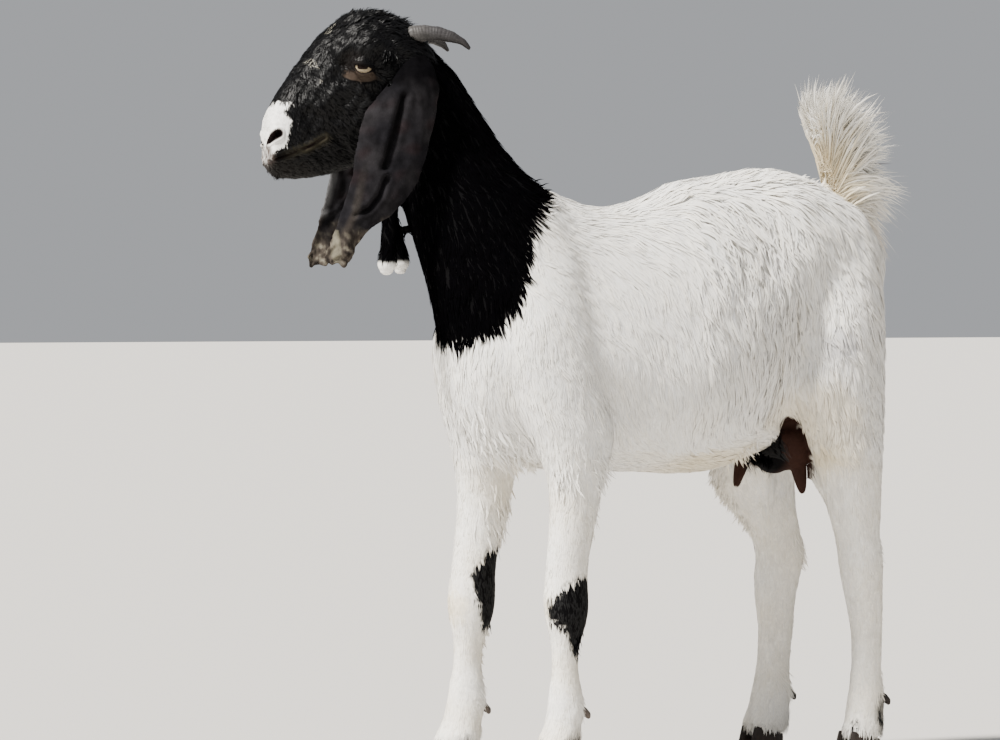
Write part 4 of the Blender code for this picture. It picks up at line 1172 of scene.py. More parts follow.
def gathered(place, size, seed):
    # The clump that each root belongs to: the way to its middle, its middle and its own draws.
    draw = np.random.default_rng(seed)
    low, high = place.min(0) - 0.01, place.max(0) + 0.01
    near = ((triangleMiddles > low) & (triangleMiddles < high)).all(1)
    middles, _, _ = sampleRoots(near / size ** 2, seed)
    tree = KDTree(len(middles))
    for i, spot in enumerate(middles):
        tree.insert(spot, i)
    tree.balance()
    mine = np.array([tree.find(spot)[1] for spot in place])
    return middles[mine] - place, middles[mine], draw.uniform(0, 1, (len(middles), 4))[mine]


# layers of tufts, length, least width and width by length, thickness, lift and curl by the lie,
# swing in degrees, size of a clump and how far its tips are drawn together
coatPlan = {
    "fore": {"layers": 2.9, "rings": 2, "long": 1.40, "fine": 0.0007, "broad": 0.085, "slim": 0.11,
             "lift": 0.55, "curl": 1.0, "spread": 9, "clump": 0.010, "gather": 0.42},
    "rear": {"layers": 3.1, "rings": 3, "long": 1.38, "fine": 0.0007, "broad": 0.085, "slim": 0.14,
             "lift": 0.90, "curl": 1.35, "spread": 10, "clump": 0.0110, "gather": 0.55},
    "neck": {"layers": 2.25, "rings": 2, "long": 1.35, "fine": 0.0007, "broad": 0.085, "slim": 0.16,
             "lift": 0.75, "curl": 1.0, "spread": 8, "clump": 0.009, "gather": 0.45},
    "head": {"layers": 1.85, "rings": 2, "long": 1.08, "fine": 0.0006, "broad": 0.095, "slim": 0.20,
             "lift": 0.90, "curl": 1.5, "spread": 19, "clump": 0.0042, "gather": 0.60},
    "leg": {"layers": 1.60, "rings": 2, "long": 1.35, "fine": 0.0007, "broad": 0.095, "slim": 0.10,
            "lift": 0.50, "curl": 1.0, "spread": 7, "clump": 0.0075, "gather": 0.40},
}


def growCoat(name, mask, part, seed):
    # Tufts that follow the lie of the coat over the skin, drawn together in pointed clumps.
    look = coatPlan[part]
    rings = look["rings"]
    cover = middleKind[:, 0] * look["long"] * (look["fine"] + look["broad"] * middleKind[:, 0]) * 0.62
    place, out, uv = sampleRoots(np.where(mask, look["layers"] / cover, 0) * (1 - middleBare), seed)
    draw = np.random.default_rng(seed)
    count = len(place)
    way, kind = readLie(place)
    kindLong, kindLift, kindCurl = kind.T
    toClump, clump, dice = gathered(place, look["clump"], seed + 7)
    gather = np.clip(look["gather"] + 0.18 * kindCurl * 1000, 0, 0.9)
    long = kindLong * look["long"] * draw.uniform(0.72, 1.22, count) * (0.85 + 0.3 * dice[:, 0])
    long *= 1 - 0.45 * blob(toBody(place), (405, -30, 425), (55, 70, 50))
    lift = kindLift * look["lift"] * draw.uniform(0.75, 1.15, count) * (0.55 + 0.9 * dice[:, 1])
    curl = kindCurl * look["curl"] * (0.7 + 0.5 * dice[:, 2])
    wide = (look["fine"] + look["broad"] * kindLong) * draw.uniform(0.65, 1.35, count)
    swing = np.radians(look["spread"] * (1.3 * ripple(clump, 0.022, 21) + 1.4 * (dice[:, 3] - 0.5)
                                         + 0.4 * draw.normal(size=count)))
    phase = 3.0 * ripple(clump, 0.030, 22) + dice[:, 2] * 1.2 + draw.uniform(-0.2, 0.2, count)
    centres, ups = [], []
    base, normal = place, out
    for station in range(rings + 1):
        share = station / rings
        if station:
            way, _ = readLie(base)
        flat = unit(way - (way * normal).sum(1, keepdims=True) * normal)
        side = np.cross(flat, normal)
        if not station:
            long = np.maximum(long + (toClump * flat).sum(1) * gather * 0.8, long * 0.55)
        flat = flat * np.cos(swing)[:, None] + side * np.sin(swing)[:, None]
        side = np.cross(flat, normal)
        wave = curl * (np.sin(phase + share * 5.0) - np.sin(phase))
        wave = wave + (toClump * side).sum(1) * gather * share ** 1.3
        rise = -0.0004 + lift * (1.25 * share - 0.25 * share ** 3)
        centres.append(base + normal * rise[:, None] + side * wave[:, None])
        ups.append(normal)
        if station < rings:
            base, normal = snapped(base + flat * (long / rings)[:, None])
    centres, ups = np.stack(centres, 1), np.stack(ups, 1)
    sides = unit(np.cross(unit(np.gradient(centres, axis=1)), ups))
    shares = np.arange(rings + 1) / rings
    widths = wide[:, None] * np.interp(shares, [0, 0.3, 0.65, 1.0], [0.75, 1.0, 0.80, 0.0])
    thicks = wide[:, None] * look["slim"] * np.interp(shares, [0, 0.3, 1.0], [0.9, 1.0, 0.3])
    tint = draw.normal(0, 0.025, count) + 0.07 * (dice[:, 0] - 0.6)
    warm = draw.normal(0, 0.008, count) + 0.015 * (dice[:, 1] - 0.5)
    tones = coatMarks(place) * (1 + tint)[:, None] * (1 + np.stack([warm, warm * 0.2, -warm * 1.5], 1))
    white = (flecked(place) > 0.3) & (draw.uniform(0, 1, count) < 0.30)
    tones = np.where(white[:, None], np.array((0.19, 0.18, 0.15)), tones)
    lockMesh(name, centres, sides, ups, widths, thicks, tones, uv, seed + 1)


def layCoat():
    (x, y, z), (headX, headY, headZ) = middleBody.T, middleHead.T
    head = ((headX < -0.152) | ((headX < -0.128) & (headZ > 0.890))) & (headZ > 0.725)
    wattle = (headX < -0.13) & (headZ <= 0.725) & (headZ > 0.60) & (np.abs(headY) < 0.04) & (x < -0.120)
    neck = ~head & ~wattle & (x < np.interp(z, *neckEdge) + 0.004) & (z > 0.526)
    leg = (z < 0.385) & ((np.abs(x) < 0.075) | (x > 0.385)) & (np.abs(y) > 0.030)
    trunk = ~(head | wattle | neck | leg)
    fore, rump = x < 0.20, x >= 0.36
    left, headLeft = y < 0, headY < 0
    for name, mask, part, seed in (
            ("coatForeLeft", trunk & left & fore, "fore", 101),
            ("coatForeRight", trunk & ~left & fore, "fore", 102),
            ("coatLoinLeft", trunk & left & ~fore & ~rump, "rear", 103),
            ("coatLoinRight", trunk & ~left & ~fore & ~rump, "rear", 104),
            ("coatRumpLeft", trunk & left & rump, "rear", 113),
            ("coatRumpRight", trunk & ~left & rump, "rear", 114),
            ("coatNeck", neck | wattle, "neck", 105),
            ("coatHeadLeft", head & headLeft, "head", 106),
            ("coatHeadRight", head & ~headLeft, "head", 116),
            ("coatFrontLegs", leg & fore, "leg", 107),
            ("coatHindLegs", leg & ~fore, "leg", 108)):
        growCoat(name, mask, part, seed)


layCoat()
print("coat laid")

# Longer hair that stands free: place and reach in mm, way in hundredths, then count, and
# length, width and curl in mm

bodyFringe = [
    (-40, -30, 402, 42, 45, -10, -86, 190, 28, 4.4, 2.4),
    (-30, 35, 402, 42, 45, 10, -86, 150, 26, 4.4, 2.4),
    (-80, 8, 435, 38, 30, 0, -100, 150, 26, 4.2, 2.2),
    (36, -94, 385, 26, 55, -12, -80, 80, 24, 2.3, 1.8),
    (36, 94, 385, 26, 55, 12, -80, 80, 24, 2.3, 1.8),
    (14, 54, 325, 42, 15, -12, -98, 170, 24, 3.4, 1.6),
    (34, -86, 330, 34, 40, 5, -90, 70, 18, 2, 1.4),
    (365, 85, 375, 34, -40, 5, -90, 170, 19, 3, 1.4),
    (385, 90, 330, 34, -30, 5, -94, 140, 16, 2.8, 1.2),
    (420, 90, 285, 28, -25, 5, -95, 80, 13, 2.4, 1),
    (515, 62, 272, 24, 55, -5, -85, 110, 18, 1.9, 1.4),
    (505, -100, 268, 24, 45, 5, -90, 80, 16, 1.9, 1.2),
    (500, 70, 170, 34, 30, 0, -95, 70, 14, 1.8, 0.8),
    (505, -90, 170, 34, 30, 0, -95, 70, 14, 1.8, 0.8),
    (488, 62, 96, 17, 40, -5, -92, 150, 22, 2, 1),
    (516, -92, 96, 17, 40, 5, -92, 130, 17, 1.9, 0.8),
    (-22, 64, 92, 15, 35, -5, -93, 110, 16, 1.9, 0.8),
    (24, -90, 92, 15, 35, 5, -93, 110, 16, 1.9, 0.8),
    (24, 78, 150, 38, 42, 0, -90, 170, 15, 2.4, 0.8),
    (6, 70, 108, 26, 50, 0, -87, 120, 16, 2.3, 0.8),
    (-14, -100, 375, 22, 10, -10, -98, 110, 24, 2.8, 1.6),
    (470, 0, 752, 26, 78, 0, 25, 190, 24, 3, 1.6),
    (502, -30, 735, 20, 70, -25, -35, 120, 24, 2.8, 1.4),
    (502, 30, 735, 20, 70, 25, -35, 120, 24, 2.8, 1.4),
    (330, -48, 395, 26, 45, -10, -80, 50, 18, 2, 1.4),
    (540, -26, 655, 26, 35, -15, -90, 60, 24, 2.2, 1.4),
    (540, 26, 655, 26, 35, 15, -90, 60, 24, 2.2, 1.4),
]
darkFringe = [
    (0, -36, 722, 22, 78, -25, -10, 150, 20, 2, 2),
    (4, 30, 724, 22, 78, 25, -10, 110, 20, 2, 2),
    (-108, 12, 545, 18, 5, -5, -100, 90, 17, 1.8, 0.9),
    (-60, -66, 548, 26, 25, -5, -100, 90, 15, 1.8, 0.8),
    (392, -6, 372, 24, -10, -25, -100, 150, 16, 1.7, 1.6),
    (12, -100, 165, 14, 20, -5, -100, 40, 14, 1.5, 0.8),
]
headFringe = [
    (-218, 0, 946, 16, 45, 0, 70, 110, 11, 1.7, 1.8),
    (-195, 12, 948, 16, 75, 20, 45, 120, 14, 1.8, 2.2),
    (-195, -12, 948, 16, 75, -20, 45, 120, 14, 1.8, 2.2),
    (-165, 0, 938, 16, 85, 0, 25, 110, 15, 1.8, 2),
    (-182, 58, 893, 13, -15, 60, -80, 150, 15, 1.9, 1.2),
    (-182, -58, 893, 13, -15, -60, -80, 150, 15, 1.9, 1.2),
    (-165, 56, 880, 12, 5, 60, -80, 110, 15, 1.9, 1.2),
    (-165, -56, 880, 12, 5, -60, -80, 110, 15, 1.9, 1.2),
    (-318, 0, 742, 16, -35, 0, -90, 90, 7, 0.8, 1.2),
]


def fringeRoots(rows, toSite, seed):
    # Each row's roots, with the way, length, width and curl of their locks.
    site = toSite(triangleMiddles)
    found = []
    for i, row in enumerate(rows):
        place, reach, way, count = inMetres(row[:3]), row[3], np.array(row[4:7]) / 100, row[7]
        weight = np.clip(1.2 - np.linalg.norm(site - place, axis=1) / reach * 1000, 0, 1) * (1 - middleBare)
        roots = sampleRoots(weight * count / (weight * triangleAreas).sum(), seed + i)
        share = 1 if toSite is toHead else turnShare(place[None])[0]
        way = turnedBy(unit(way)[None], -goatPlan["neckTurn"] * share)[0]
        found.append((*roots, np.tile(np.r_[way, inMetres(row[8:])], (len(roots[0]), 1))))
    return (np.concatenate([row[k] for row in found]) for k in range(4))


def growFringe(name, rows, toSite, seed):
    draw = np.random.default_rng(seed)
    place, out, uv, setting = fringeRoots(rows, toSite, seed)
    count = len(place)
    long = setting[:, 3] * draw.uniform(0.6, 1.2, count)
    way = unit(setting[:, 0:3] + 0.16 * draw.normal(size=(count, 3)))
    start = unit(way - out * (way * out).sum(1, keepdims=True) * 0.9 + out * 0.12)
    toClump, _, dice = gathered(place, 0.007, seed + 50)
    share = np.linspace(0, 1, 5)[None, :, None]
    bent = start[:, None] * (share - share ** 2 / 2) + way[:, None] * share ** 2 / 2
    path = place[:, None] - out[:, None] * 0.0012 + bent * long[:, None, None]
    ahead = unit(np.gradient(path, axis=1))
    side = unit(np.cross(ahead, out[:, None] + 0.35 * draw.normal(size=(count, 1, 3))))
    bend = np.sin(dice[:, :1] * 6.3 + share[..., 0] * 4.5) - np.sin(dice[:, :1] * 6.3)
    path = path + side * (bend * setting[:, 5:6])[..., None] + toClump[:, None] * (share ** 1.4) * 0.55
    profile = np.interp(share[0, :, 0], [0, 0.3, 0.65, 1.0], [0.7, 1.0, 0.75, 0.0])
    widths = (setting[:, 4] * draw.uniform(0.6, 1.3, count))[:, None] * profile
    tones = coatMarks(place) * (1 + draw.normal(0, 0.05, (count, 1)))
    lockMesh(name, path, side, np.cross(side, ahead), widths, 0.25, tones, uv, seed + 90)


growFringe("fringeBody", bodyFringe, toBody, 400)
growFringe("fringeDark", darkFringe, toBody, 500)
growFringe("fringeHead", headFringe, toHead, 600)

coronetPlan = {"count": 2700, "low": 0.031, "high": 0.056, "short": 0.008, "long": 0.014, "wide": 0.0015}


def growCoronets(seed):
    # Short hair that hangs over the top of each hoof.
    low = (middleBody[:, 2] < coronetPlan["high"]) & (middleBody[:, 2] > coronetPlan["low"])
    place, out, uv = sampleRoots(low * coronetPlan["count"] / (low * triangleAreas).sum(), seed)
    draw = np.random.default_rng(seed)
    count = len(place)
    flat = unit(out * np.array((1, 1, 0)))
    way = unit(flat * 0.16 + np.array((0, 0, -1.0)) + 0.07 * draw.normal(size=(count, 3)))
    long = draw.uniform(coronetPlan["short"], coronetPlan["long"], count)
    share = np.linspace(0, 1, 4)[None, :, None]
    path = place[:, None] - out[:, None] * 0.0008 + way[:, None] * share * long[:, None, None] \
        + flat[:, None] * (share - share ** 2) * 0.003
    path[:, :, 2] = np.maximum(path[:, :, 2], 0.004)
    side = unit(np.cross(way, flat))[:, None] + np.zeros_like(path)
    profile = np.interp(share[0, :, 0], [0, 0.3, 0.65, 1.0], [0.8, 1.0, 0.75, 0.0])
    widths = (coronetPlan["wide"] * draw.uniform(0.6, 1.3, count))[:, None] * profile
    tones = coatMarks(place) * (1 + draw.normal(0, 0.04, (count, 1)))
    up = np.broadcast_to(flat[:, None], path.shape)
    lockMesh("fringeCoronets", path, side, up, widths, 0.2, tones, uv, seed + 90)


growCoronets(700)
print("fringes grown")


# Finishes of the coat and the bare skin


def coatFinish(name, roughness, specular):
    finish, tree, shader = newFinish(name, roughness, specular)
    tone = readAttribute(tree, "coatTone", (-900, 200), "Color")
    along = readAttribute(tree, "along", (-900, 0), "Fac")
    strand = nodeOf(tree, "ShaderNodeUVMap", (-900, -220), uv_map="strand").outputs["UV"]
    stretch = nodeOf(tree, "ShaderNodeMapping", (-720, -220), {"Vector": strand, "Scale": (5200, 130, 1)})
    rootShade = nodeOf(tree, "ShaderNodeMapRange", (-720, 0),
                       {"Value": along, "From Max": 0.5, "To Min": 0.86})
    shaded = nodeOf(tree, "ShaderNodeVectorMath", (-520, 160),
                    {0: tone, "Scale": rootShade.outputs["Result"]}, operation="SCALE")
    colour, height = addMottle(tree, (-320, 0), shaded.outputs["Vector"], stretch.outputs["Vector"],
                               1.0, 2.0, 0.92, 1.04)
    dress(tree, shader, colour, addBump(tree, (-140, -260), height, 0.35, 0.0002))
    return finish


def skinFinish():
    finish, tree, shader = newFinish("goatHide", 0.74, 0.06)
    tone = readAttribute(tree, "coatTone", (-900, 200), "Color")
    where = nodeOf(tree, "ShaderNodeTexCoord", (-900, -100)).outputs["Object"]
    wrinkled, wrinkles = addMottle(tree, (-700, 0), tone, where, 240.0, 4.0, 0.86, 1.12)
    colour, pores = addMottle(tree, (-500, 0), wrinkled, where, 900.0, 3.0, 0.95, 1.05)
    coarse = addBump(tree, (-500, -260), wrinkles, 0.5, 0.0005)
    dress(tree, shader, colour, addBump(tree, (-300, -260), pores, 0.5, 0.0003, coarse))
    return finish


# Ears, horns, eyes, hooves and tail


def softCopy(name, voxel, rounds, swell):
    # A finely meshed and smoothed copy of a CAD node, to shape further.
    mesh = remeshed(mergedCopy(name), name, voxel)
    p = softened(points(mesh), edgesOf(mesh), np.full(len(mesh.vertices), float(rounds)))
    setPoints(mesh, p + vertexNormals(p, corners(mesh)) * swell)
    smoothShade(mesh)
    return mesh


earPlan = {"voxel": 0.0016, "groove": 0.0052, "crease": 0.0034, "tipZ": 0.668, "frayZ": 0.640,
           "flat": (1, 0.35, 1), "black": (0.0072, 0.0068, 0.0080), "sheen": (0.0140, 0.0130, 0.0142),
           "brown": (0.0120, 0.0085, 0.0092), "rim": (0.036, 0.031, 0.027), "tip": (0.054, 0.045, 0.037),
           "crumpled": (0.150, 0.135, 0.105), "scale": (0.012, 0.010, 0.009), "lit": (0.085, 0.085, 0.088),
           "shade": (0.0016, 0.0014, 0.0016), "streak": (0.16, 0.148, 0.108)}
earGroove = [(-176, 70, 838), (-187, 75, 799), (-202, 78, 752)]
earFold = [(-200, 78, 738), (-209, 78, 716), (-222, 78, 700), (-240, 76, 692)]
earRear = [(-113, 77, 849), (-115.5, 77, 810), (-124, 77, 775), (-135, 77, 745), (-155, 77, 710.5)]
earFront = [(-206, 66, 824), (-218.6, 70, 800.6), (-223.5, 74, 763.6), (-231, 76, 733.6), (-240.7, 77, 694),
            (-255.5, 77, 664)]
earStreak = [(-262, 76, 672), (-266, 76, 630)]


def earDistance(h, line):
    # The distance to a line on the ear, counting less of what lies across its thickness.
    flat = np.array(earPlan["flat"])
    return lineDistance(folded(h) * flat, inMetres(line) * flat)


def earFinish():
    finish, tree, shader = newFinish("velvetEar", 0.88, 0.015)
    tone = readAttribute(tree, "coatTone", (-900, 200), "Color")
    where = nodeOf(tree, "ShaderNodeTexCoord", (-1100, -100)).outputs["Object"]
    squeeze = nodeOf(tree, "ShaderNodeMapping", (-900, -160), {"Vector": where, "Scale": (1, 1, 0.28)})
    cloud, _ = addMottle(tree, (-700, 0), tone, where, 70.0, 6.0, 0.62, 1.45)
    colour, nap = addMottle(tree, (-500, 0), cloud, squeeze.outputs["Vector"], 1500.0, 2.0, 0.84, 1.16)
    dress(tree, shader, colour, addBump(tree, (-300, -260), nap, 0.45, 0.0004))
    return finish


def foldEar(h, normals, outer):
    # The ear's groove and crease, its uneven face and its crumpled and curled tip.
    toGroove, toFold = earDistance(h, earGroove)[0], earDistance(h, earFold)[0]
    push = 0.0019 * bell(toGroove - 0.0095, 0.005) - earPlan["groove"] * bell(toGroove, 0.0038) \
        + 0.0014 * bell(toFold - 0.0070, 0.0035) - earPlan["crease"] * bell(toFold, 0.0026)
    push = push * (outer - (1 - outer) * 0.5)
    push += 0.0008 * ripple(h, 0.022, 41) + 0.0004 * ripple(h * np.array((1, 1, 0.4)), 0.007, 42)
    low = smoothStep(earPlan["tipZ"] - h[:, 2], 0.0, 0.030)
    push += low * (0.0018 * ripple(h, 0.008, 43) + 0.0009 * ripple(h, 0.004, 44))
    h = h + normals * push[:, None]
    h[:, 1] += low * 0.007 * np.sin((h[:, 0] + 0.262) * 150) * np.sign(h[:, 1])
    fray = smoothStep(earPlan["frayZ"] - h[:, 2], 0.0, 0.010)
    h[:, 2] += fray * 0.0045 * ripple(h * np.array((1, 0, 0)), 0.0045, 45)
    return h


def toneEar(h, outer):
    high = h[:, 2]
    toGroove, toFold, toRear, toStreak = (earDistance(h, line)[0]
                                          for line in (earGroove, earFold, earRear, earStreak))
    toEdge, along = earDistance(h, earFront)
    root = np.maximum(smoothStep(high, 0.832, 0.868), clipped(1.3 - toRear / 0.0085) * (high > 0.72))
    rim = clipped(1.5 - toEdge / 0.0045) * smoothStep(along, 0.35, 0.95)
    tip = smoothStep(0.684 - high + 0.010 * ripple(h, 0.016, 47), 0.0, 0.034)
    crumple = ripple(h, 0.0060, 91) + 0.5 * ripple(h, 0.0028, 92)
    lit = clipped(1.6 - toEdge / 0.0060) * (1 - outer) * smoothStep(high, 0.685, 0.700)
    dark = np.maximum(bell(toGroove, 0.0042) * 0.8, bell(toFold, 0.0026) * 0.7)
    streak = clipped(1.4 - toStreak / (0.0042 + 0.002 * ripple(h, 0.008, 48))) * outer
    colour = np.tile(np.array(earPlan["black"]), (len(h), 1))
    for tone, share in (
            (earPlan["sheen"], clipped(0.5 + 0.5 * ripple(h, 0.024, 46))),
            (earPlan["brown"], clipped(ripple(h, 0.018, 49) - 0.3) * 0.7),
            (marksPlan["black"], np.clip(root + 0.12 * ripple(h, 0.010, 50) * root, 0, 0.95)),
            (earPlan["rim"], rim * 0.7),
            (earPlan["tip"], tip * 0.85),
            (earPlan["crumpled"], tip * np.clip(crumple - 0.25, 0, 0.8)),
            (earPlan["scale"], tip * np.clip(-crumple - 0.30, 0, 0.9)),
            (earPlan["lit"], lit * (1 - smoothStep(high, 0.78, 0.80)) * 0.8),
            (earPlan["shade"], dark * outer),
            (earPlan["streak"], streak * 0.6)):
        colour = blend(colour, tone, share)
    return colour


def shapeEar(name):
    mesh = softCopy(name, earPlan["voxel"], 14, 0.0006)
    h = toHead(points(mesh))
    normals = turnedBy(normalsOf(mesh), goatPlan["neckTurn"])
    outer = smoothStep(normals[:, 1] * np.sign(h[:, 1]), -0.1, 0.4)
    h = foldEar(h, normals, outer)
    setPoints(mesh, fromHead(h))
    setTone(mesh, toneEar(h, outer))
    return mesh


velvet = earFinish()
for side in ("left", "right"):
    finishPiece("ear" + side.capitalize(), shapeEar("ear_" + side), velvet, "ear_skin", "ear_" + side)
print("ears shaped")

hornPlan = {"voxel": 0.0010, "long": 0.098, "ringGap": 0.0038, "ringHeight": 0.00035, "sag": 0.0040}
hornLine = inMetres([(-162, 22, 908), (-150, 25, 917), (-135, 29, 922), (-119, 34, 922), (-103, 40, 916),
                     (-91, 45, 908), (-83, 49, 899)])
# roughness, and the tones at the root, in the middle and at the tip
hornTones = {
    "hornRinged": (0.50, (0.060, 0.056, 0.052), (0.033, 0.031, 0.032), (0.009, 0.0072, 0.0078)),
    "hoofHorn": (0.55, (0.016, 0.012, 0.010), (0.026, 0.019, 0.015), (0.048, 0.037, 0.028)),
    "dewHornPale": (0.65, (0.055, 0.042, 0.034), (0.075, 0.060, 0.050), (0.100, 0.082, 0.070)),
    "dewHornDark": (0.60, (0.0075, 0.0050, 0.0044), (0.011, 0.0070, 0.0058), (0.016, 0.010, 0.0082)),
}


def hornFinish(name):
    roughness, light, dark, tip = hornTones[name]
    finish, tree, shader = newFinish(name, roughness, 0.25)
    along = readAttribute(tree, "along", (-900, 200), "Fac")
    growth = readAttribute(tree, "growth", (-900, -100), "Vector")
    ramp = nodeOf(tree, "ShaderNodeValToRGB", (-640, 240), {"Fac": along})
    ramp.color_ramp.elements[0].color = (*light, 1)
    ramp.color_ramp.elements[1].color = (*tip, 1)
    ramp.color_ramp.elements.new(0.45).color = (*dark, 1)
    colour, height = addMottle(tree, (-340, 0), ramp.outputs["Color"], growth, 1.0, 4.0, 0.66, 1.32)
    dress(tree, shader, colour, addBump(tree, (-160, -260), height, 0.5, 0.0003))
    return finish


def shapeHorn(name):
    mesh = softCopy(name, hornPlan["voxel"], 10, 0.0003)
    p, normals = points(mesh), normalsOf(mesh)
    h = toHead(p)
    _, along = lineDistance(folded(h), hornLine)
    ring = np.abs(np.sin(np.pi * along * hornPlan["long"] / hornPlan["ringGap"] + 0.6 * ripple(h, 0.010, 51)))
    rings = (ring - 0.6) * hornPlan["ringHeight"] * (1 - smoothStep(along, 0.55, 0.85))
    swell = 0.0005 + 0.0003 * ripple(h, 0.012, 52) + 0.0014 * (1 - smoothStep(along, 0.08, 0.40))
    sag = hornPlan["sag"] * bell(along - 0.48, 0.26)
    down = turnedBy(np.array([[0.25, 0, 1.0]]), -goatPlan["neckTurn"])
    setPoints(mesh, p + normals * (rings + swell)[:, None] - down * sag[:, None])
    angle = np.arctan2(normals[:, 1], normals[:, 2])
    lengthwise = along * hornPlan["long"] * 160
    setGrowth(mesh, along, np.stack([np.cos(angle) * 5, np.sin(angle) * 5, lengthwise], 1))
    return mesh


horn = hornFinish("hornRinged")
for side in ("left", "right"):
    finishPiece("horn" + side.capitalize(), shapeHorn("horn_" + side), horn, "horn", "horn_" + side)
print("horns shaped")

eyePlan = {"iris": 0.90, "pupilWide": 0.46, "pupilHigh": 0.26, "pupilBack": 0.10, "cornea": 0.0006,
           "innerIris": (0.17, 0.125, 0.070, 1), "outerIris": (0.34, 0.295, 0.215, 1),
           "rim": (0.020, 0.012, 0.008, 1), "pupil": (0.0050, 0.0022, 0.0014, 1)}


def eyeFinish():
    finish, tree, shader = newFinish("goatEye", 0.45, 0.04)
    feed(tree, shader, {"Coat Weight": 0.05, "Coat Roughness": 0.03})
    gaze = nodeOf(tree, "ShaderNodeUVMap", (-1300, 0), uv_map="gaze").outputs["UV"]
    parts = nodeOf(tree, "ShaderNodeSeparateXYZ", (-1120, 0), {"Vector": gaze}).outputs
    u, v = parts["X"], parts["Y"]

    def maths(operation, place, *values):
        inputs = dict(enumerate(values))
        return nodeOf(tree, "ShaderNodeMath", place, inputs, operation=operation).outputs["Value"]

    def mixed(place, share, first, second):
        inputs = {"Factor": share, 6: first, 7: second}
        return nodeOf(tree, "ShaderNodeMix", place, inputs, data_type="RGBA").outputs[2]

    far = maths("SQRT", (-620, 140), maths("ADD", (-780, 140), maths("MULTIPLY", (-940, 200), u, u),
                                           maths("MULTIPLY", (-940, 60), v, v)))
    wide = maths("DIVIDE", (-940, -100), maths("SUBTRACT", (-1060, -100), u, eyePlan["pupilBack"]),
                 eyePlan["pupilWide"])
    high = maths("DIVIDE", (-940, -240), v, eyePlan["pupilHigh"])
    slot = maths("ADD", (-460, -160),
                 maths("POWER", (-620, -100), maths("ABSOLUTE", (-780, -100), wide), 4.0),
                 maths("POWER", (-620, -240), maths("ABSOLUTE", (-780, -240), high), 3.0))
    angle = maths("ARCTAN2", (-780, 320), v, u)
    spoke = nodeOf(tree, "ShaderNodeCombineXYZ", (-620, 380),
                   {"X": maths("MULTIPLY", (-700, 460), angle, 9.0),
                    "Y": maths("MULTIPLY", (-700, 560), far, 3.0)})
    rays = nodeOf(tree, "ShaderNodeTexNoise", (-460, 380),
                  {"Vector": spoke.outputs["Vector"], "Scale": 1.0, "Detail": 3})
    ramp = nodeOf(tree, "ShaderNodeValToRGB", (-280, 420), {"Fac": rays.outputs["Fac"]})
    for element, tone, place in zip(ramp.color_ramp.elements, ("innerIris", "outerIris"), (0.35, 0.68)):
        element.color, element.position = eyePlan[tone], place
    edge = nodeOf(tree, "ShaderNodeMapRange", (-280, 140),
                  {"Value": far, "From Min": eyePlan["iris"] - 0.10, "From Max": eyePlan["iris"] + 0.03})
    dark = nodeOf(tree, "ShaderNodeMapRange", (-280, -160),
                  {"Value": slot, "From Min": 1.35, "From Max": 0.75})
    iris = mixed((-60, 300), edge.outputs["Result"], ramp.outputs["Color"], eyePlan["rim"])
    feed(tree, shader, {"Base Color": mixed((120, 200), dark.outputs["Result"], iris, eyePlan["pupil"])})
    return finish


def shapeEye(sign):
    bm = bmesh.new()
    bmesh.ops.create_uvsphere(bm, u_segments=64, v_segments=40, radius=goatPlan["eyeRadius"])
    mesh = meshFrom(bm, "eye")
    p = points(mesh)
    way = unit(p)
    p = p + way * (eyePlan["cornea"] * smoothStep(way[:, 2], 0.72, 0.98))[:, None]
    # the far half of the ball takes up the plan outside the near half
    flat = way[:, :2]
    grow = np.where(way[:, 2] < 0, 2.0 - np.hypot(*flat.T), 1.0)
    index = readFlat(mesh.loops, "vertex_index", 1, np.int32)
    writeFlat(mesh.uv_layers.new(name="gaze").data, "uv", (flat * grow[:, None])[index])
    side = np.array((1, sign, 1))
    setPoints(mesh, fromHead((p @ np.stack([eyeBack, eyeUp, eyeOut]) + eyeSpot) * side))
    outward(mesh)
    return mesh


eyeShine = eyeFinish()
for side, sign in (("left", -1), ("right", 1)):
    finishPiece("eye" + side.capitalize(), shapeEye(sign), eyeShine, "eye", "eye_" + side)
print("eyes set")

hoofPlan = {"bevel": 0.0016, "sharp": math.radians(35), "high": 0.036, "ringGap": 0.0044,
            "ringHeight": 0.00022, "dewGrow": 1.02, "dewOut": 0.0022, "streaks": (420, 420, 60)}


def shapeHoof(name):
    bm = mergedCopy(name)
    sharp = [e for e in bm.edges if len(e.link_faces) == 2 and e.calc_face_angle() > hoofPlan["sharp"]]
    bmesh.ops.bevel(bm, geom=sharp, offset=hoofPlan["bevel"], offset_type="OFFSET", segments=3, profile=0.5,
                    affect="EDGES", material=-1)
    long = [e for e in bm.edges if e.calc_length() > 0.004]
    bmesh.ops.subdivide_edges(bm, edges=long, cuts=3, use_grid_fill=True)
    bmesh.ops.triangulate(bm, faces=bm.faces)
    mesh = meshFrom(bm, name)
    p, normals = points(mesh), normalsOf(mesh)
    height = p[:, 2] / hoofPlan["high"]
    ring = np.sin(2 * math.pi * p[:, 2] / hoofPlan["ringGap"] + 0.8 * ripple(p, 0.012, 61))
    ring *= (1 - np.abs(normals[:, 2])) * hoofPlan["ringHeight"] * (p[:, 2] > 0.003)
    p = p + normals * ring[:, None]
    p[:, 2] = np.maximum(p[:, 2], 0)
    setPoints(mesh, p)
    setGrowth(mesh, 1 - clipped(height), p * np.array(hoofPlan["streaks"]))
    smoothShade(mesh)
    return mesh


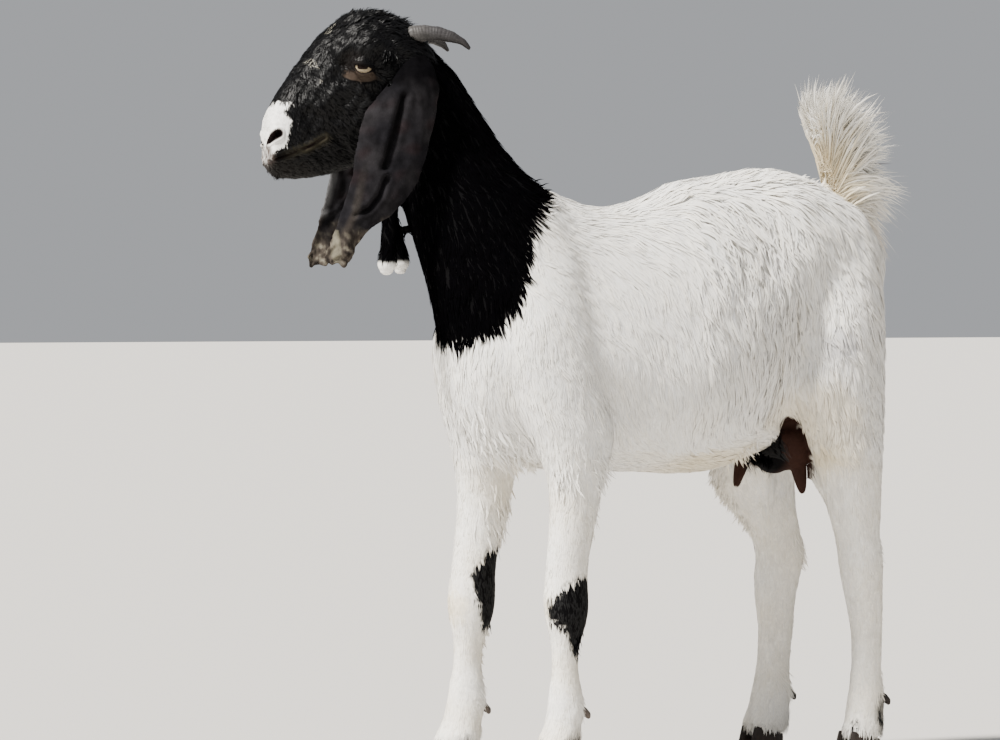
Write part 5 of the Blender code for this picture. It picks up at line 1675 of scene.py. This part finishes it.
def shapeDewclaw(name):
    # The dewclaw is drawn in until it stands in the coat.
    mesh = softCopy(name, 0.0009, 5, 0.0004)
    p = points(mesh)
    middle = p.mean(0)
    hide = snapped(middle[None])[0][0]
    gap = np.linalg.norm(hide - middle)
    p = middle + (p - middle) * hoofPlan["dewGrow"] + (hide - middle) / gap * max(gap - hoofPlan["dewOut"], 0)
    setPoints(mesh, p)
    high = p[:, 2].max()
    setGrowth(mesh, (high - p[:, 2]) / (high - p[:, 2].min()), p * np.array(hoofPlan["streaks"]))
    print(name, "stood", round(gap * 1000, 1), "mm out")
    return mesh


hoofHorn = hornFinish("hoofHorn")
dewHorn = {"front": hornFinish("dewHornPale"), "hind": hornFinish("dewHornDark")}
for leg in legNames:
    for side in ("left", "right"):
        claw, dew = f"{leg}_claw_{side}", f"{leg}_dewclaw_{side}"
        finishPiece("hoof." + claw, shapeHoof(claw), hoofHorn, "hoof", claw)
        finishPiece("dew." + dew, shapeDewclaw(dew), dewHorn[leg.split("_")[0]], "hoof", dew)
print("hooves shaped")

tailPlan = {"locks": 3000, "strays": 300, "rings": 5, "wide": 0.0032, "wisps": 75, "darkWisp": 46,
            "middle": (506, 0, 752), "white": (0.83, 0.805, 0.745), "under": (0.36, 0.28, 0.20),
            "dark": (0.10, 0.085, 0.080)}
# x, z and half width at the tips, and x and z at the roots, from the front over the top to the rear
tailTips = inMetres([(466, 822, 14), (472, 860, 32), (503, 876, 41), (545, 870, 43), (582, 836, 40),
                     (606, 787, 35), (619, 740, 30), (621, 698, 25), (612, 656, 18), (598, 634, 10)])
tailRoots = inMetres([(493, 796), (494, 790), (497, 780), (500, 768), (505, 756), (509, 742), (513, 730),
                      (517, 718), (520, 706), (522, 696)])


def snappedUv(p):
    # the unwrap places of the skin nearest to p
    index = np.array([skinTree.find_nearest(spot)[2] for spot in p])
    return triangleUv[index].mean(1)


def growTail():
    draw = np.random.default_rng(300)
    count = tailPlan["locks"] + tailPlan["strays"]
    stray = np.arange(count) >= tailPlan["locks"]
    wisps, darkWisp = tailPlan["wisps"], tailPlan["darkWisp"]
    wispT = (np.arange(wisps) + draw.uniform(0, 1, wisps)) / wisps
    wispSide, wispReach = draw.uniform(-1, 1, wisps), draw.uniform(0.80, 1.06, wisps)
    wispReach[darkWisp] = 1.14
    mine = draw.integers(0, wisps, count)
    free = np.where(stray, 0.06, 0.022)
    t = clipped(wispT[mine] + free * draw.normal(size=count))
    sideways = np.clip(wispSide[mine] + 0.16 * draw.normal(size=count), -1, 1)
    steps = np.linspace(0, 1, len(tailTips))
    tipX, tipZ, spread = (np.interp(t, steps, column) for column in tailTips.T)
    mix = clipped(t + draw.normal(0, 0.12, count))
    rootX, rootZ = (np.interp(mix, steps, column) for column in tailRoots.T)
    radius = 0.007 + 0.010 * smoothStep(0.80 - rootZ, 0.0, 0.10)
    root = np.stack([rootX, sideways * radius, rootZ], 1)
    reach = np.where(stray, draw.uniform(0.95, 1.06, count), 1 - 0.55 * draw.uniform(0, 1, count) ** 1.6)
    full = np.stack([tipX, sideways * spread * 1.05, tipZ], 1)
    middle = inMetres(tailPlan["middle"])
    tip = middle + (full - middle) * (reach * wispReach[mine])[:, None] + draw.normal(0, 0.0025, (count, 3))
    upward = np.stack([np.interp(t, [0, 0.3, 0.7, 1], [-0.010, -0.004, 0.006, 0.010]),
                       sideways * 0.016, np.interp(t, [0, 0.4, 0.75, 1], [0.020, 0.034, 0.022, 0.004])], 1)
    control = root * 0.62 + tip * 0.38 + upward
    share = np.linspace(0, 1, tailPlan["rings"] + 1)[None, :, None]
    path = root[:, None] * (1 - share) ** 2 + control[:, None] * 2 * share * (1 - share) \
        + tip[:, None] * share ** 2
    ahead = unit(np.gradient(path, axis=1))
    up = np.stack([draw.normal(0, 0.35, count), np.sign(sideways) + draw.normal(0, 0.3, count),
                   draw.normal(0, 0.35, count)], 1)[:, None, :]
    up = unit(up - (up * ahead).sum(2, keepdims=True) * ahead)
    side = np.cross(ahead, up)
    phase = 3.0 * ripple(root, 0.02, 71)[:, None] + share[:, :, 0] * draw.uniform(3, 7, (count, 1))
    wave = 0.0022 * np.sin(phase)
    path = path + side * (wave * share[:, :, 0])[:, :, None]
    wide = tailPlan["wide"] * draw.uniform(0.6, 1.3, count) * np.where(stray, 0.22, 1.0)
    widths = wide[:, None] * np.interp(share[0, :, 0], [0, 0.3, 0.6, 1.0], [0.30, 1.0, 0.75, 0.0])
    fade = smoothStep(share[:, :, 0] + draw.normal(0, 0.08, (count, 1)), 0.12, 0.62)[:, :, None]
    tones = np.array(marksPlan["cream"]) * (1 - fade) + np.array(tailPlan["white"]) * fade
    under = (smoothStep(t, 0.72, 0.95) * draw.uniform(0, 1, count) * 0.5)[:, None, None]
    tones = tones * (1 - under) + np.array(tailPlan["under"]) * under
    dark = (mine == darkWisp)[:, None, None] & (share > 0.45)
    tones = np.where(dark, np.array(tailPlan["dark"]), tones) * (1 + draw.normal(0, 0.04, (count, 1, 1)))
    path = fromStraight(path.reshape(-1, 3)).reshape(path.shape)
    return lockMesh("tailHair", path, side, up, widths, 0.22, tones, snappedUv(path[:, 0]), 301)


tailHair = growTail()
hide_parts("tail")
print("tail grown")

whiteCoat = coatFinish("whiteCoatHair", 0.70, 0.25)
blackCoat = coatFinish("blackCoatHair", 0.95, 0.0)
glossCoat = coatFinish("glossyFaceHair", 0.42, 0.15)
skinMesh.materials.append(skinFinish())
for piece in coatPieces:
    dark = piece.name in ("coatNeck", "fringeDark")
    finish = glossCoat if "Head" in piece.name else blackCoat if dark else whiteCoat
    piece.data.materials.append(finish)
    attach(piece, "root")
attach(skin, "root")
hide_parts(*fleshNodes)
